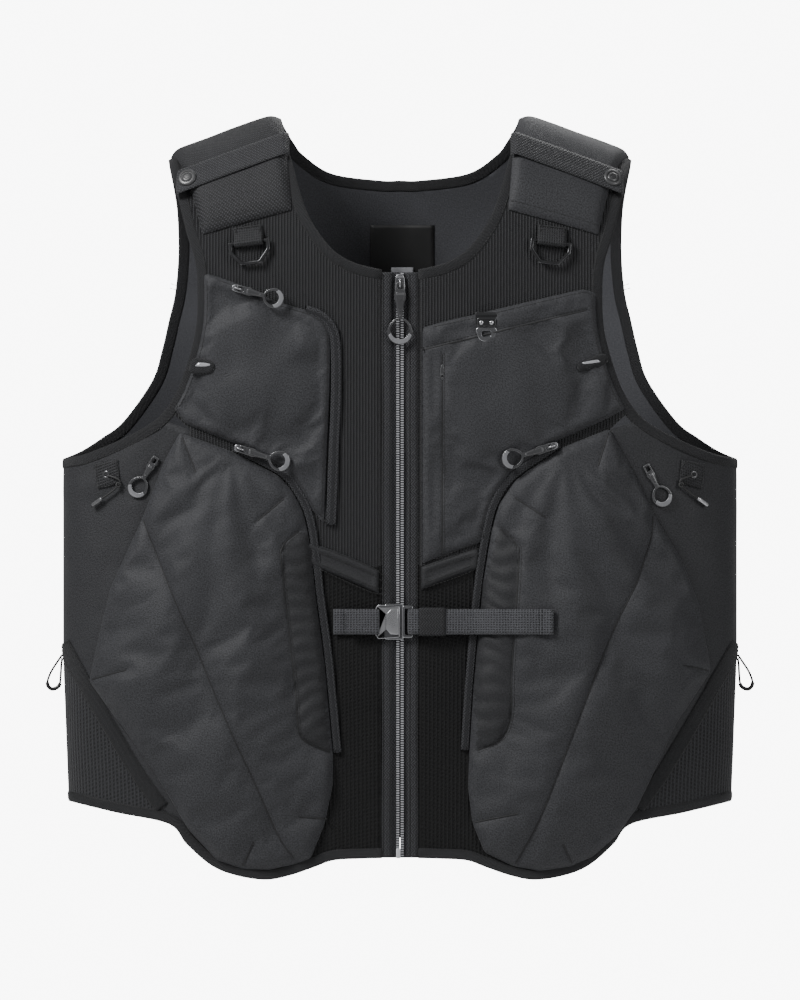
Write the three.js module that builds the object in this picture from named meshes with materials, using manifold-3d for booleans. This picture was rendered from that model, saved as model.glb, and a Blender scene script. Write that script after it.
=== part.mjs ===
// Zip-front utility vest with zipped pouches, standing as if worn.
// Millimetres, +Z up, the front faces -Y, the wearer's right is -X, the shoulder tops are at z = 0.
import * as THREE from 'three';
import { mergeVertices } from 'three/addons/utils/BufferGeometryUtils.js';
import Module from 'manifold-3d';

const wasm = await Module();
wasm.setup();

// Overall form
const halfWidth = 303;
const hemHalfWidth = 298;
const taperTop = -485;
const hemSide = -616;
const halfDepth = 78;
const sectionPower = 2.6;
const shoulderRound = 150;
const neckHalf = 107;
const shoulderTip = 209;
const shoulderTopZ = -1;
const shoulderSlope = 0.379;
const zipTopZ = -137;
const zipBottomZ = -667;

// Layers, measured outward from the lining
const gap = 0.3;
const clothThickness = 1.8;
const bindingWidth = 9.5;
const bindingUnder = -0.6;
const bindingOver = clothThickness + 0.6;
const pocketUnder = clothThickness + gap;
const pocketOver = pocketUnder + 3.5;
const pouchUnder = clothThickness + 1.4;
const pouchEdge = 5;
const pouchBulge = 22;
const padUnder = clothThickness + 1;
const padOver = padUnder + 5.8;
const sideBandWidth = 13;

// Hardware
const webbingThickness = 1.5;
const keeperWidth = 20;
const chestStrapWidth = 23;
const chestStrapZ = -453.6;
const chestStrapTailX = 138;
const capDiameter = 15;
const ringWidth = 38;
const ringHeight = 25;
const ringStock = 3.4;
const toothReach = 3.2;
const tapeReach = 17;
const toothGap = 0.8;
const pullThickness = 2;
const cordDiameter = 2;
const buckleHeight = 29;

const vest = new THREE.Group();
vest.name = 'vest';

const cloth = { color: 0x2b2c2e, roughness: 0.9, metalness: 0 };
const meshCloth = { color: 0x1d1e20, roughness: 0.95, metalness: 0 };
const trim = { color: 0x18191a, roughness: 0.85, metalness: 0 };
const webbing = { color: 0x303134, roughness: 0.9, metalness: 0 };
const rubber = { color: 0x55575b, roughness: 0.5, metalness: 0 };
const darkMetal = { color: 0x3a3b3e, roughness: 0.35, metalness: 0.9 };
const greyMetal = { color: 0x8b8d91, roughness: 0.4, metalness: 0.8 };

function add(name, geometry, look) {
  const mesh = new THREE.Mesh(geometry, new THREE.MeshStandardMaterial(look));
  mesh.name = name;
  vest.add(mesh);
  return mesh;
}

// Joining and cutting
function toSolid(geometry) {
  const bare = geometry.clone();
  bare.deleteAttribute('normal');
  bare.deleteAttribute('uv');
  const merged = mergeVertices(bare, 1e-4);
  const vertProperties = new Float32Array(merged.attributes.position.array);
  const triVerts = new Uint32Array(merged.index.array);
  return new wasm.Manifold(new wasm.Mesh({ numProp: 3, vertProperties, triVerts }));
}

function toGeometry(solid) {
  const mesh = solid.getMesh();
  const geometry = new THREE.BufferGeometry();
  geometry.setAttribute('position', new THREE.BufferAttribute(mesh.vertProperties, 3));
  geometry.setIndex(new THREE.BufferAttribute(mesh.triVerts, 1));
  return geometry;
}

function cut(geometry, ...tools) {
  let solid = toSolid(geometry);
  for (const tool of tools) solid = solid.subtract(toSolid(tool));
  const bodies = solid.decompose().sort((a, b) => b.volume() - a.volume());
  return toGeometry(bodies[0]);
}

function keep(geometry, ...tools) {
  let solid = toSolid(geometry);
  for (const tool of tools) solid = solid.intersect(toSolid(tool));
  return toGeometry(solid);
}

function join(...parts) {
  let solid = toSolid(parts[0]);
  for (const part of parts.slice(1)) solid = solid.add(toSolid(part));
  return toGeometry(solid);
}

// The form: a rounded torso section that turns over at the shoulders
function widthAt(z) {
  if (z > taperTop) return halfWidth;
  return halfWidth - (halfWidth - hemHalfWidth) * (taperTop - z) / (taperTop - hemSide);
}

function ridge(x) {
  const soft = 40;
  return shoulderTopZ - shoulderSlope * (Math.hypot(x, soft) - Math.hypot(neckHalf, soft));
}

function onForm(side, x, zWanted, offset) {
  const z = Math.min(zWanted, ridge(x));
  const width = widthAt(z);
  const t = Math.min(Math.abs(x) / width, 1);
  const depth = Math.pow(1 - Math.pow(t, sectionPower), 1 / sectionPower);
  const c = Math.max(0, 1 - (ridge(x) - z) / shoulderRound);
  const s = Math.sqrt(1 - c * c);
  const ridgeSlope = -shoulderSlope * x / Math.hypot(x, 40);
  const depthP = Math.pow(depth, sectionPower);
  const across = Math.sign(x) * Math.pow(t, sectionPower - 1) * s * s / width;
  const normal = new THREE.Vector3(
    halfDepth * (across - depthP * c / shoulderRound * ridgeSlope),
    side * s * Math.pow(depth, sectionPower - 1),
    halfDepth * depthP * c / shoulderRound
  ).normalize();
  const point = new THREE.Vector3(Math.sign(x) * t * width, side * halfDepth * depth * s, z);
  return { point: point.addScaledVector(normal, offset), normal };
}

// A closed solid between an inner and an outer grid of points
function thicken(columns, rows, at, ring = false) {
  const positions = [];
  const index = [];
  const id = (i, j, k) => (((ring ? i % columns : i) * (rows + 1)) + j) * 2 + k;
  const lastColumn = ring ? columns - 1 : columns;
  for (let i = 0; i <= lastColumn; i++) {
    for (let j = 0; j <= rows; j++) {
      for (const p of at(i, j)) positions.push(p.x, p.y, p.z);
    }
  }
  const quad = (a, b, c, d) => index.push(a, b, c, a, c, d);
  for (let i = 0; i < columns; i++) {
    for (let j = 0; j < rows; j++) {
      quad(id(i, j, 1), id(i + 1, j, 1), id(i + 1, j + 1, 1), id(i, j + 1, 1));
      quad(id(i, j, 0), id(i, j + 1, 0), id(i + 1, j + 1, 0), id(i + 1, j, 0));
    }
    quad(id(i, 0, 0), id(i + 1, 0, 0), id(i + 1, 0, 1), id(i, 0, 1));
    quad(id(i, rows, 1), id(i + 1, rows, 1), id(i + 1, rows, 0), id(i, rows, 0));
  }
  if (!ring) {
    for (let j = 0; j < rows; j++) {
      quad(id(0, j, 0), id(0, j, 1), id(0, j + 1, 1), id(0, j + 1, 0));
      quad(id(columns, j, 1), id(columns, j, 0), id(columns, j + 1, 0), id(columns, j + 1, 1));
    }
  }
  return outward(positions, index);
}

function outward(positions, index) {
  let volume = 0;
  const v = (k) => new THREE.Vector3().fromArray(positions, 3 * k);
  for (let k = 0; k < index.length; k += 3) {
    volume += v(index[k]).dot(v(index[k + 1]).cross(v(index[k + 2])));
  }
  if (volume < 0) index.reverse();
  const geometry = new THREE.BufferGeometry();
  geometry.setAttribute('position', new THREE.Float32BufferAttribute(positions, 3));
  geometry.setIndex(index);
  return geometry;
}

// A layer of the whole front (side -1) or back (side 1), between two offsets
const sectionStops = [0, 0.1, 0.2, 0.3, 0.4, 0.5, 0.6, 0.7, 0.8, 0.86, 0.9, 0.94, 0.97, 0.985, 0.995, 1];

function layer(side, from, to, inner, outer, withShoulder = true) {
  const mirrored = sectionStops.slice(1).reverse().map((t) => -t);
  const stops = [...mirrored, ...sectionStops].filter((t) => t >= from - 0.001 && t <= to + 0.001);
  const shoulder = withShoulder ? 6 : 0;
  const heightAt = (t, j) => {
    const top = ridge(t * halfWidth);
    if (j <= shoulder && withShoulder) return top - shoulderRound * (1 - Math.cos(j / 6 * Math.PI / 2));
    const lower = withShoulder ? top - shoulderRound : -200;
    const below = [lower, taperTop, hemSide, -700];
    return below[j - shoulder];
  };
  return thicken(stops.length - 1, shoulder + 3, (i, j) => {
    const z = heightAt(stops[i], j);
    const x = stops[i] * widthAt(z);
    return [onForm(side, x, z, inner).point, onForm(side, x, z, outer).point];
  });
}

function prism(outline, side) {
  const shape = new THREE.Shape(outline.map(([x, z]) => new THREE.Vector2(x, z)));
  const geometry = new THREE.ExtrudeGeometry(shape, { depth: 200, bevelEnabled: false });
  geometry.rotateX(Math.PI / 2);
  geometry.translate(0, side < 0 ? -gap / 2 : 200 + gap / 2, 0);
  return geometry;
}

function smooth(points, count) {
  const curve = new THREE.SplineCurve(points.map(([x, z]) => new THREE.Vector2(x, z)));
  return curve.getSpacedPoints(count).map((p) => [p.x, p.y]);
}

function shifted(path, distance) {
  return path.map(([x, z], i) => {
    const [ax, az] = path[Math.max(0, i - 1)];
    const [bx, bz] = path[Math.min(path.length - 1, i + 1)];
    const length = Math.hypot(bx - ax, bz - az);
    return [x - (bz - az) / length * distance, z + (bx - ax) / length * distance];
  });
}

function mirrorX(path, sign) {
  return sign < 0 ? path : path.map(([x, z]) => [-x, z]);
}

// Edge lines of the wearer's right half, mirrored for the left half
const neckFront = [[-neckHalf, ridge(neckHalf)], [-106, -8], [-97.5, -39], [-89, -70], [-79, -94], [-61, -118],
  [-42, -130], [-20, -136]];
const neckBack = [[-neckHalf, ridge(neckHalf)], [-104, -8], [-96, -21], [-87, -32], [-61.5, -48], [-18, -54], [0, -54]];
const armFront = [[-shoulderTip, ridge(shoulderTip)], [-207, -46], [-200, -72], [-192, -104], [-184, -130],
  [-182, -156], [-183.6, -190], [-192.6, -225], [-204, -252], [-221, -272.5], [-250.6, -289], [-282, -302],
  [-303, -306.5]];
const armBack = [[-shoulderTip, ridge(shoulderTip)], [-208, -46], [-204, -67], [-201.6, -87], [-201, -121.5],
  [-204, -156], [-210, -182], [-216, -208], [-225, -236], [-250.6, -272.5], [-269, -287], [-287, -299],
  [-303, -306.5]];
const hemFront = [[-298, -616], [-255, -626], [-208, -636], [-192, -654], [-170, -673], [-148, -682], [-121, -686],
  [-99, -682], [-77, -674.5], [-60, -668.5], [-36, -667], [-17.5, -666.5]];
const hemBack = [[-298, -616], [-240, -628], [-160, -641], [-80, -649], [0, -651]];
const sideBand = [[-303, -474], [-270, -533], [-236, -590], [-214, -621]];

// A tape sewn round an edge: edge points and the points one width inside them
function edgeTape(path, width, side) {
  const inside = shifted(path, width);
  return path.map((p, i) => ({ side, edge: p, inside: inside[i] }));
}

function tapeSolid(stations, under, over, ring = false) {
  const count = ring ? stations.length : stations.length - 1;
  return thicken(count, 1, (i, j) => {
    const { side, edge, inside } = stations[i % stations.length];
    const [x, z] = j === 0 ? edge : inside;
    return [onForm(side, x, z, under).point, onForm(side, x, z, over).point];
  }, ring);
}

function denseTop(points, count) {
  const curve = new THREE.SplineCurve(points.map(([x, z]) => new THREE.Vector2(x, z)));
  const path = [];
  for (let i = 0; i <= count; i++) {
    const p = curve.getPointAt(Math.pow(i / count, 1.5));
    path.push([p.x, p.y]);
  }
  return path;
}

const neckFrontPath = denseTop(neckFront, 16);
const neckBackPath = denseTop(neckBack, 14);
const armFrontPath = denseTop(armFront, 20);
const armBackPath = denseTop(armBack, 20);
const hemFrontPath = smooth(hemFront, 18);
const hemBackPath = smooth(hemBack, 8);
const sideBandPath = smooth(sideBand, 6);

function flipped(stations) {
  return stations.map(({ side, edge, inside }) => ({ side, edge: [-edge[0], edge[1]], inside: [-inside[0], inside[1]] }));
}

const ridgeNeck = { side: -1, edge: [-neckHalf, 0], inside: [-neckHalf - bindingWidth, 0] };
const ridgeArm = { side: -1, edge: [-shoulderTip, 0], inside: [-shoulderTip + bindingWidth, 0] };
const neckFrontTape = edgeTape(neckFrontPath, -bindingWidth, -1).slice(1);
const neckBackTape = edgeTape(neckBackPath, -bindingWidth, 1).slice(1);
neckBackTape[neckBackTape.length - 1].inside = [0, -54 - bindingWidth];
const neckHalfTape = [...neckFrontTape.slice().reverse(), ridgeNeck, ...neckBackTape];
const neckTape = [...neckHalfTape, ...flipped(neckHalfTape).reverse().slice(1)];
add('neck_binding', tapeSolid(neckTape, bindingUnder, bindingOver), trim);

const armFrontTape = edgeTape(armFrontPath, bindingWidth, -1).slice(1);
const armBackTape = edgeTape(armBackPath, bindingWidth, 1).slice(1);
const armSide = { side: -1, edge: [-303, -306.5], inside: [-303, -306.5 - bindingWidth] };
const armRing = [ridgeArm, ...armFrontTape.slice(0, -1), armSide, ...armBackTape.slice(0, -1).reverse()];
add('armhole_binding_right', tapeSolid(armRing, bindingUnder, bindingOver, true), trim);
add('armhole_binding_left', tapeSolid(flipped(armRing), bindingUnder, bindingOver, true), trim);

const hemFrontTape = edgeTape(hemFrontPath, bindingWidth, -1);
const hemBackTape = edgeTape(hemBackPath, bindingWidth, 1);
hemFrontTape[0] = { side: -1, edge: [-298, -616], inside: [-298.4, -616 + bindingWidth] };
hemFrontTape[hemFrontTape.length - 1].inside = [-17.5, -666.5 + bindingWidth];
hemBackTape[hemBackTape.length - 1].inside = [0, -651 + bindingWidth];
const hemHalf = [...hemFrontTape.slice().reverse(), ...hemBackTape.slice(1)];
const hemTape = [...hemHalf, ...flipped(hemHalf).reverse().slice(1)];
add('hem_binding', tapeSolid(hemTape, bindingUnder, bindingOver), trim);

// Room for the tapes inside the panels that they bind
function roomFor(stations, ring = false) {
  const wider = stations.map(({ side, edge, inside }) => {
    const length = Math.hypot(inside[0] - edge[0], inside[1] - edge[1]);
    const [dx, dz] = [(inside[0] - edge[0]) / length, (inside[1] - edge[1]) / length];
    return { side, edge: [edge[0] - 2 * dx, edge[1] - 2 * dz], inside: [inside[0] + 0.5 * dx, inside[1] + 0.5 * dz] };
  });
  return tapeSolid(wider, bindingUnder - 1, bindingOver + 1, ring);
}
const tapeRooms = [roomFor(neckTape), roomFor(armRing, true), roomFor(flipped(armRing), true), roomFor(hemTape)];

// Body panels
const innerReach = bindingWidth + 0.9;
const bodyPanels = [];
for (const [name, sign] of [['right', -1], ['left', 1]]) {
  const from = sign < 0 ? -0.8 : 0;
  const to = sign < 0 ? 0 : 0.8;
  const neckIn = shifted(neckFrontPath, -innerReach);
  const armIn = shifted(armFrontPath, innerReach);
  const hemIn = shifted(hemFrontPath, innerReach);
  const split = -190;
  const upperArm = armIn.filter(([x, z]) => z > -262);
  const front = [
    [-neckHalf - innerReach, 20], ...neckIn.slice(1), [-tapeReach - gap, -150],
    [-tapeReach - gap, zipBottomZ + innerReach + 1], ...hemIn.filter(([x]) => x > split && x < -20).reverse(),
    [split + gap, -660], [split + gap, -275.5], [-200, -268], ...upperArm.slice(1).reverse(),
    [-shoulderTip + innerReach, 20]
  ];
  const frontLayer = layer(-1, from, to, 0, clothThickness);
  add('front_mesh_' + name, cut(keep(frontLayer, prism(mirrorX(front, sign), -1)), ...tapeRooms), meshCloth);

  const sideLayer = layer(-1, sign < 0 ? -1 : 0.5, sign < 0 ? -0.5 : 1, 0, clothThickness, false);
  const tape = edgeTape(shifted(sideBandPath, -sideBandWidth / 2), sideBandWidth, -1);
  const band = sign < 0 ? tape : flipped(tape);
  const bandRoom = roomFor(band);
  const bandUp = shifted(sideBandPath, sideBandWidth / 2 + gap);
  const bandDown = shifted(sideBandPath, -sideBandWidth / 2 - 1.5);
  const lowerArm = armIn.filter(([x, z]) => z < -276);
  const side = [
    [split, -276], ...lowerArm, [-320, -316.6], [-320, bandUp[0][1] + 22], ...bandUp, [-205, -628],
    [-200, -660], [split, -660]
  ];
  add('side_panel_' + name, cut(keep(sideLayer, prism(mirrorX(side, sign), -1)), ...tapeRooms, bandRoom), cloth);

  const hemMesh = hemIn.filter(([x]) => x < -222);
  const lower = [[-320, bandDown[0][1] - 22], ...bandDown, ...hemMesh.reverse(),
    [-320, -606]];
  add('side_mesh_' + name, cut(keep(sideLayer, prism(mirrorX(lower, sign), -1)), ...tapeRooms, bandRoom), meshCloth);

  const trimmed = cut(tapeSolid(band, 0, bindingOver), ...tapeRooms);
  add('side_binding_' + name, keep(trimmed, prism(mirrorX([[-340, -400], [-340, -700], [0, -700], [0, -400]], sign),
    -1)), trim);
}

const backNeckIn = shifted(neckBackPath, -innerReach);
const backArmIn = shifted(armBackPath, innerReach);
const backHemIn = shifted(hemBackPath, innerReach);
const backHalf = [[0, -54 - innerReach], ...backNeckIn.slice(1, -1).reverse(), [-neckHalf - innerReach, 20],
  [-shoulderTip + innerReach, 20], ...backArmIn.slice(1), [-330, -316.5], [-330, -606], ...backHemIn.slice(1, -1),
  [0, -651 + innerReach]];
const backOutline = [...backHalf, ...backHalf.slice(1, -1).reverse().map(([x, z]) => [-x, z])];
add('back_panel', cut(keep(layer(1, -1, 1, 0, clothThickness), prism(backOutline, 1)), ...tapeRooms), cloth);

// Pockets and pouches, sewn over the body panels
const pouchRight = [[-198, -283], [-212, -309], [-232, -361], [-260, -423], [-279, -507], [-248, -550], [-219, -591],
  [-190, -640], [-165, -667], [-141, -675], [-117, -676], [-94, -671], [-80, -666], [-67.5, -635], [-60, -599],
  [-60, -571.5], [-68, -487], [-75, -434], [-78, -407], [-82, -375], [-87, -354], [-96, -337], [-109, -322],
  [-151, -300]];
const pouchLeft = [[188, -279.5], [209, -316.5], [229, -358], [252.5, -397], [268, -436.5], [279, -498], [248, -545],
  [227, -591], [213, -620], [196, -644], [173, -664], [153, -673], [126, -677], [102, -673], [76, -661], [65, -634],
  [61, -603], [62, -569], [66, -508.5], [74, -421], [82, -371], [89, -347], [104, -325], [144.5, -297]];

function spread(outline, distance) {
  const count = outline.length;
  let area = 0;
  outline.forEach(([x, z], i) => {
    const [nx, nz] = outline[(i + 1) % count];
    area += x * nz - nx * z;
  });
  const turn = area > 0 ? 1 : -1;
  return outline.map(([x, z], i) => {
    const [ax, az] = outline[(i + count - 1) % count];
    const [bx, bz] = outline[(i + 1) % count];
    const length = Math.hypot(bx - ax, bz - az);
    return [x + turn * (bz - az) / length * distance, z - turn * (bx - ax) / length * distance];
  });
}

function liftAt(r) {
  return pouchUnder + pouchEdge + pouchBulge * Math.pow(1 - r * r, 0.9);
}

// A pouch is a padded form: rings shrink towards its middle and rise with the bulge
function pouch(outline, middle) {
  const rings = [1, 0.94, 0.84, 0.68, 0.48, 0.25];
  const positions = [];
  const index = [];
  const count = outline.length;
  const put = (r, k, offset) => {
    const x = middle[0] + (outline[k][0] - middle[0]) * r;
    const z = middle[1] + (outline[k][1] - middle[1]) * r;
    const p = onForm(-1, x, z, offset).point;
    positions.push(p.x, p.y, p.z);
  };
  for (const upper of [0, 1]) {
    for (const r of rings) {
      const lift = liftAt(r);
      for (let k = 0; k < count; k++) put(r, k, upper ? lift : pouchUnder);
    }
    put(0, 0, upper ? pouchUnder + pouchEdge + pouchBulge : pouchUnder);
  }
  const half = rings.length * count + 1;
  for (const upper of [0, 1]) {
    const base = upper * half;
    const face = (a, b, c) => upper ? index.push(a, b, c) : index.push(a, c, b);
    for (let r = 0; r < rings.length - 1; r++) {
      for (let k = 0; k < count; k++) {
        const n = (k + 1) % count;
        const [p, q, s, t] = [r * count + k, r * count + n, (r + 1) * count + n, (r + 1) * count + k].map((m) => m + base);
        face(p, q, s);
        face(p, s, t);
      }
    }
    for (let k = 0; k < count; k++) {
      const n = (k + 1) % count;
      face(base + (rings.length - 1) * count + k, base + (rings.length - 1) * count + n, base + half - 1);
    }
  }
  for (let k = 0; k < count; k++) {
    const n = (k + 1) % count;
    index.push(k, n, half + n, k, half + n, half + k);
  }
  return outward(positions, index);
}

add('pouch_right', pouch(pouchRight, [-160, -505]), cloth);
add('pouch_left', pouch(pouchLeft, [160, -505]), cloth);

const zipStripWidth = 6;
const zipStrip = (path, sign) => {
  const stations = edgeTape(shifted(path, -sign * 0.9), -sign * zipStripWidth, -1);
  return tapeSolid(stations, pocketUnder + gap, pocketUnder + 2.3);
};
const innerEdgeRight = smooth(pouchRight.slice(15).reverse(), 16);
const innerEdgeLeft = smooth(pouchLeft.slice(17).reverse(), 16);
add('pouch_zip_right', zipStrip(innerEdgeRight, -1), trim);
add('pouch_zip_left', zipStrip(innerEdgeLeft, 1), trim);

const armInFront = shifted(armFrontPath, innerReach);
const armUpTo = (low, high) => armInFront.filter(([x, z]) => z > low && z < high);
const chestRight = [...smooth([[-174, -140], [-147, -149], [-112.5, -164.5], [-79, -175], [-66, -186], [-62.5, -201],
  [-63, -243], [-65.7, -300], [-68, -372]], 14), [-80, -378], [-150, -330], [-196, -276], ...armUpTo(-262, -143).reverse()];
const chestLeft = [[20, -189], [67, -177], [165, -154], ...armUpTo(-262, -157).map(([x, z]) => [-x, z]), [196, -276],
  [150, -330], [76, -384], [20, -402]];
const pouchReach = zipStripWidth + 3;
const pouchClearRight = prism(spread(pouchRight, pouchReach), -1);
const pouchClearLeft = prism(spread(pouchLeft, pouchReach), -1);
const rightLayer = (inner, outer) => layer(-1, -0.8, 0, inner, outer);
const leftLayer = (inner, outer) => layer(-1, 0, 0.8, inner, outer);
add('chest_pocket_right', cut(keep(rightLayer(pocketUnder, pocketOver), prism(chestRight, -1)), pouchClearRight, ...tapeRooms), cloth);
add('chest_pocket_left', cut(keep(leftLayer(pocketUnder, pocketOver), prism(chestLeft, -1)), pouchClearLeft, ...tapeRooms), cloth);

const sideZip = [[-57, -196], [-57, -243], [-59, -300], [-61.5, -366]];
add('chest_zip_right', tapeSolid(edgeTape(shifted(sideZip, -5), 9, -1), pocketUnder, pocketOver - 1), trim);

const waistRight = [[-95, -376], [-19, -407.5], [-19, -429.5], [-95, -396]];
const waistLeft = [[19, -404.5], [90, -381], [90, -401], [19, -425.5]];
add('waist_band_right', cut(keep(rightLayer(pocketUnder, pocketUnder + 2), prism(waistRight, -1)), pouchClearRight), cloth);
add('waist_band_left', cut(keep(leftLayer(pocketUnder, pocketUnder + 2), prism(waistLeft, -1)), pouchClearLeft), cloth);

// Placing flat hardware on the form: local X runs across, Y up the surface, Z outward
function seatOn(x, z, offset, turn = 0) {
  const { point, normal } = onForm(-1, x, z, offset);
  const across = new THREE.Vector3(0, 0, 1).cross(normal).normalize();
  const up = new THREE.Vector3().crossVectors(normal, across);
  const matrix = new THREE.Matrix4().makeBasis(across, up, normal).setPosition(point);
  return matrix.multiply(new THREE.Matrix4().makeRotationZ(turn));
}

function plate(points, thickness, holes = []) {
  const shape = new THREE.Shape(points.map(([x, y]) => new THREE.Vector2(x, y)));
  for (const hole of holes) shape.holes.push(new THREE.Path(hole.map(([x, y]) => new THREE.Vector2(x, y))));
  return new THREE.ExtrudeGeometry(shape, { depth: thickness, bevelEnabled: false });
}

function rectangle(x0, x1, y0, y1) {
  return [[x0, y0], [x1, y0], [x1, y1], [x0, y1]];
}

function box(x0, x1, y0, y1, z0, z1) {
  const geometry = plate(rectangle(x0, x1, y0, y1), z1 - z0);
  geometry.translate(0, 0, z0);
  return geometry;
}

function ringPoints(cx, cy, rx, ry, count, start = 0) {
  return Array.from({ length: count }, (_, k) => {
    const a = start + k / count * 2 * Math.PI;
    return [cx + rx * Math.cos(a), cy + ry * Math.sin(a)];
  });
}

// Slider with an arch; the eye bar of the pull lies under the arch. The zip runs along local Y.
const archHole = 3.4;
const eyeBar = 2;
function sliderGeometry(length, width, height, post) {
  const base = box(-width / 2, width / 2, -length / 2, length / 2, 0, height);
  const arch = plate([[-3.4, 0], [3.4, 0], [3.4, archHole + 1.2], [-3.4, archHole + 1.2]], 1.6,
    [rectangle(-2.2, 2.2, 0.3, archHole + 0.1)]);
  arch.rotateX(Math.PI / 2);
  arch.rotateZ(Math.PI / 2);
  arch.translate(-0.8, 0, height - 0.2);
  const parts = [base, arch];
  if (post) {
    parts.push(box(-0.5, 0.5, -length / 2, length / 2, -post, 0.5));
    parts.push(box(-width / 2, width / 2, -length / 2, length / 2, -post - 1.4, -post + 0.1));
  }
  return join(...parts);
}

// Pull: eye round the arch, flat tab, then an open loop. It hangs from the origin along -Y.
function pullGeometry(length, loopWidth, tabWidth) {
  const loopRadius = loopWidth / 2;
  const centre = -length + loopRadius;
  const outer = [[-3.6, 1], [3.6, 1], [tabWidth / 2, -7], [tabWidth / 2 - 0.6, centre + loopRadius + 1.5]];
  for (let k = 0; k <= 14; k++) {
    const a = (60 - k / 14 * 300) * Math.PI / 180;
    outer.push([loopRadius * Math.cos(a), centre + loopRadius * Math.sin(a)]);
  }
  outer.push([-tabWidth / 2 + 0.6, centre + loopRadius + 1.5], [-tabWidth / 2, -7]);
  const eye = rectangle(-1.8, 1.8, -5.4, -1);
  const finger = ringPoints(0, centre, loopRadius - 3, loopRadius - 3, 14);
  const geometry = plate(outer, pullThickness, [eye, finger]);
  geometry.translate(0, 0, -pullThickness / 2);
  return geometry;
}

// Main zip
const railTop = zipTopZ - 2;
const railBottom = zipBottomZ + 1;
for (const [name, sign] of [['right', -1], ['left', 1]]) {
  const profile = [[toothGap, -1.2], [toothReach, -1.2], [toothReach, 0], [tapeReach - gap, 0], [tapeReach - gap, 1.2],
    [toothReach, 1.2], [toothReach, 2.6], [toothGap, 2.6]];
  const half = new THREE.Shape(profile.map(([x, y]) => new THREE.Vector2(sign * x, y)));
  const stringer = new THREE.ExtrudeGeometry(half, { depth: railTop - railBottom, bevelEnabled: false });
  stringer.translate(0, 0, railBottom);
  stringer.rotateX(0);
  const turned = stringer.clone();
  const p = turned.attributes.position;
  for (let k = 0; k < p.count; k++) p.setXYZ(k, p.getX(k), -halfDepth - p.getY(k), p.getZ(k));
  turned.index = null;
  const solid = outward(Array.from(mergedPositions(turned)), mergedIndex(turned));
  add('zip_stringer_' + name, solid, trim);
}

function mergedOf(geometry) {
  const bare = geometry.clone();
  bare.deleteAttribute('normal');
  bare.deleteAttribute('uv');
  return mergeVertices(bare, 1e-4);
}

function mergedPositions(geometry) {
  return mergedOf(geometry).attributes.position.array;
}

function mergedIndex(geometry) {
  return Array.from(mergedOf(geometry).index.array);
}

function placed(geometry, matrix) {
  const copy = geometry.clone();
  copy.applyMatrix4(matrix);
  return copy;
}

const mainSliderZ = -149;
const mainSeat = seatOn(0, mainSliderZ, 2.9);
add('zip_slider', placed(sliderGeometry(15, 9, 1.6, 4.4), mainSeat), greyMetal);
const eyeLift = archHole / 2 + 0.1 - 0.2;
const mainPullSeat = seatOn(0, mainSliderZ, 2.9 + 1.6 + eyeLift);
add('zip_pull', placed(pullGeometry(54, 20, 9), mainPullSeat), rubber);

// Pocket zip hardware: zip, side, slider seat, height, heading of the pull, its length, loop width, travel side
const smallPulls = [
  ['chest', 'right', -145, -154, pocketOver + 0.3, -15, 42, 15],
  ['pouch', 'right', -143, -298, pocketOver + 0.5, -17, 46, 16],
  ['pouch', 'left', 136, -295.8, pocketOver + 0.5, -163, 46, 16]
];
for (const [zip, name, x, z, offset, heading, length, loop] of smallPulls) {
  const turn = (heading + 90) * Math.PI / 180;
  add(zip + '_slider_' + name, placed(sliderGeometry(11, 7, 1.8, 0), seatOn(x, z, offset, turn)), greyMetal);
  const seat = seatOn(x, z, offset + 1.8 + eyeLift, turn);
  add(zip + '_pull_' + name, placed(pullGeometry(length, loop, 7), seat), rubber);
}
for (const [name, x, z, heading, offset] of [['right', -219, -306, -122, clothThickness + 1.5],
  ['left', 221, -313, -62, clothThickness + 1.5]]) {
  const turn = (heading + 90) * Math.PI / 180;
  add('side_pull_' + name, placed(pullGeometry(40, 16, 7), seatOn(x, z, offset, turn)), rubber);
}
add('slit_pull_left', placed(plate(ringPoints(0, 0, 2, 7, 12), 1.4), seatOn(38, -229, pocketOver + gap)), rubber);

// Shoulder pads, their keeper straps and caps
function padSolid(grow) {
  return thicken(6, 12, (i, j) => {
    const u = (i / 6 - 0.5) * (1 + 2 * grow / 90) + 0.5;
    const w = j / 12;
    const fromRidge = Math.abs(2 * w - 1);
    const x = -(111 + 88 * u) + fromRidge * (14 + 7 * u);
    const lowest = (w < 0.5 ? 86 : 92) + (w < 0.5 ? -7 : -16) * u + grow;
    const phi = Math.acos(1 - lowest / shoulderRound) * fromRidge;
    const z = ridge(x) - shoulderRound * (1 - Math.cos(phi));
    const crown = (1 - Math.pow(Math.abs(2 * i / 6 - 1), 4)) * (1 - Math.pow(fromRidge, 6));
    const over = padUnder + 3.2 + (padOver - padUnder - 3.2) * crown + grow;
    const side = w < 0.5 ? -1 : 1;
    return [onForm(side, x, z, padUnder - grow).point, onForm(side, x, z, over).point];
  });
}

function flipX(geometry) {
  const copy = geometry.clone();
  copy.scale(-1, 1, 1);
  const index = copy.index ? Array.from(copy.index.array) : [...Array(copy.attributes.position.count).keys()];
  copy.setIndex(index.reverse());
  return copy;
}

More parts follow.
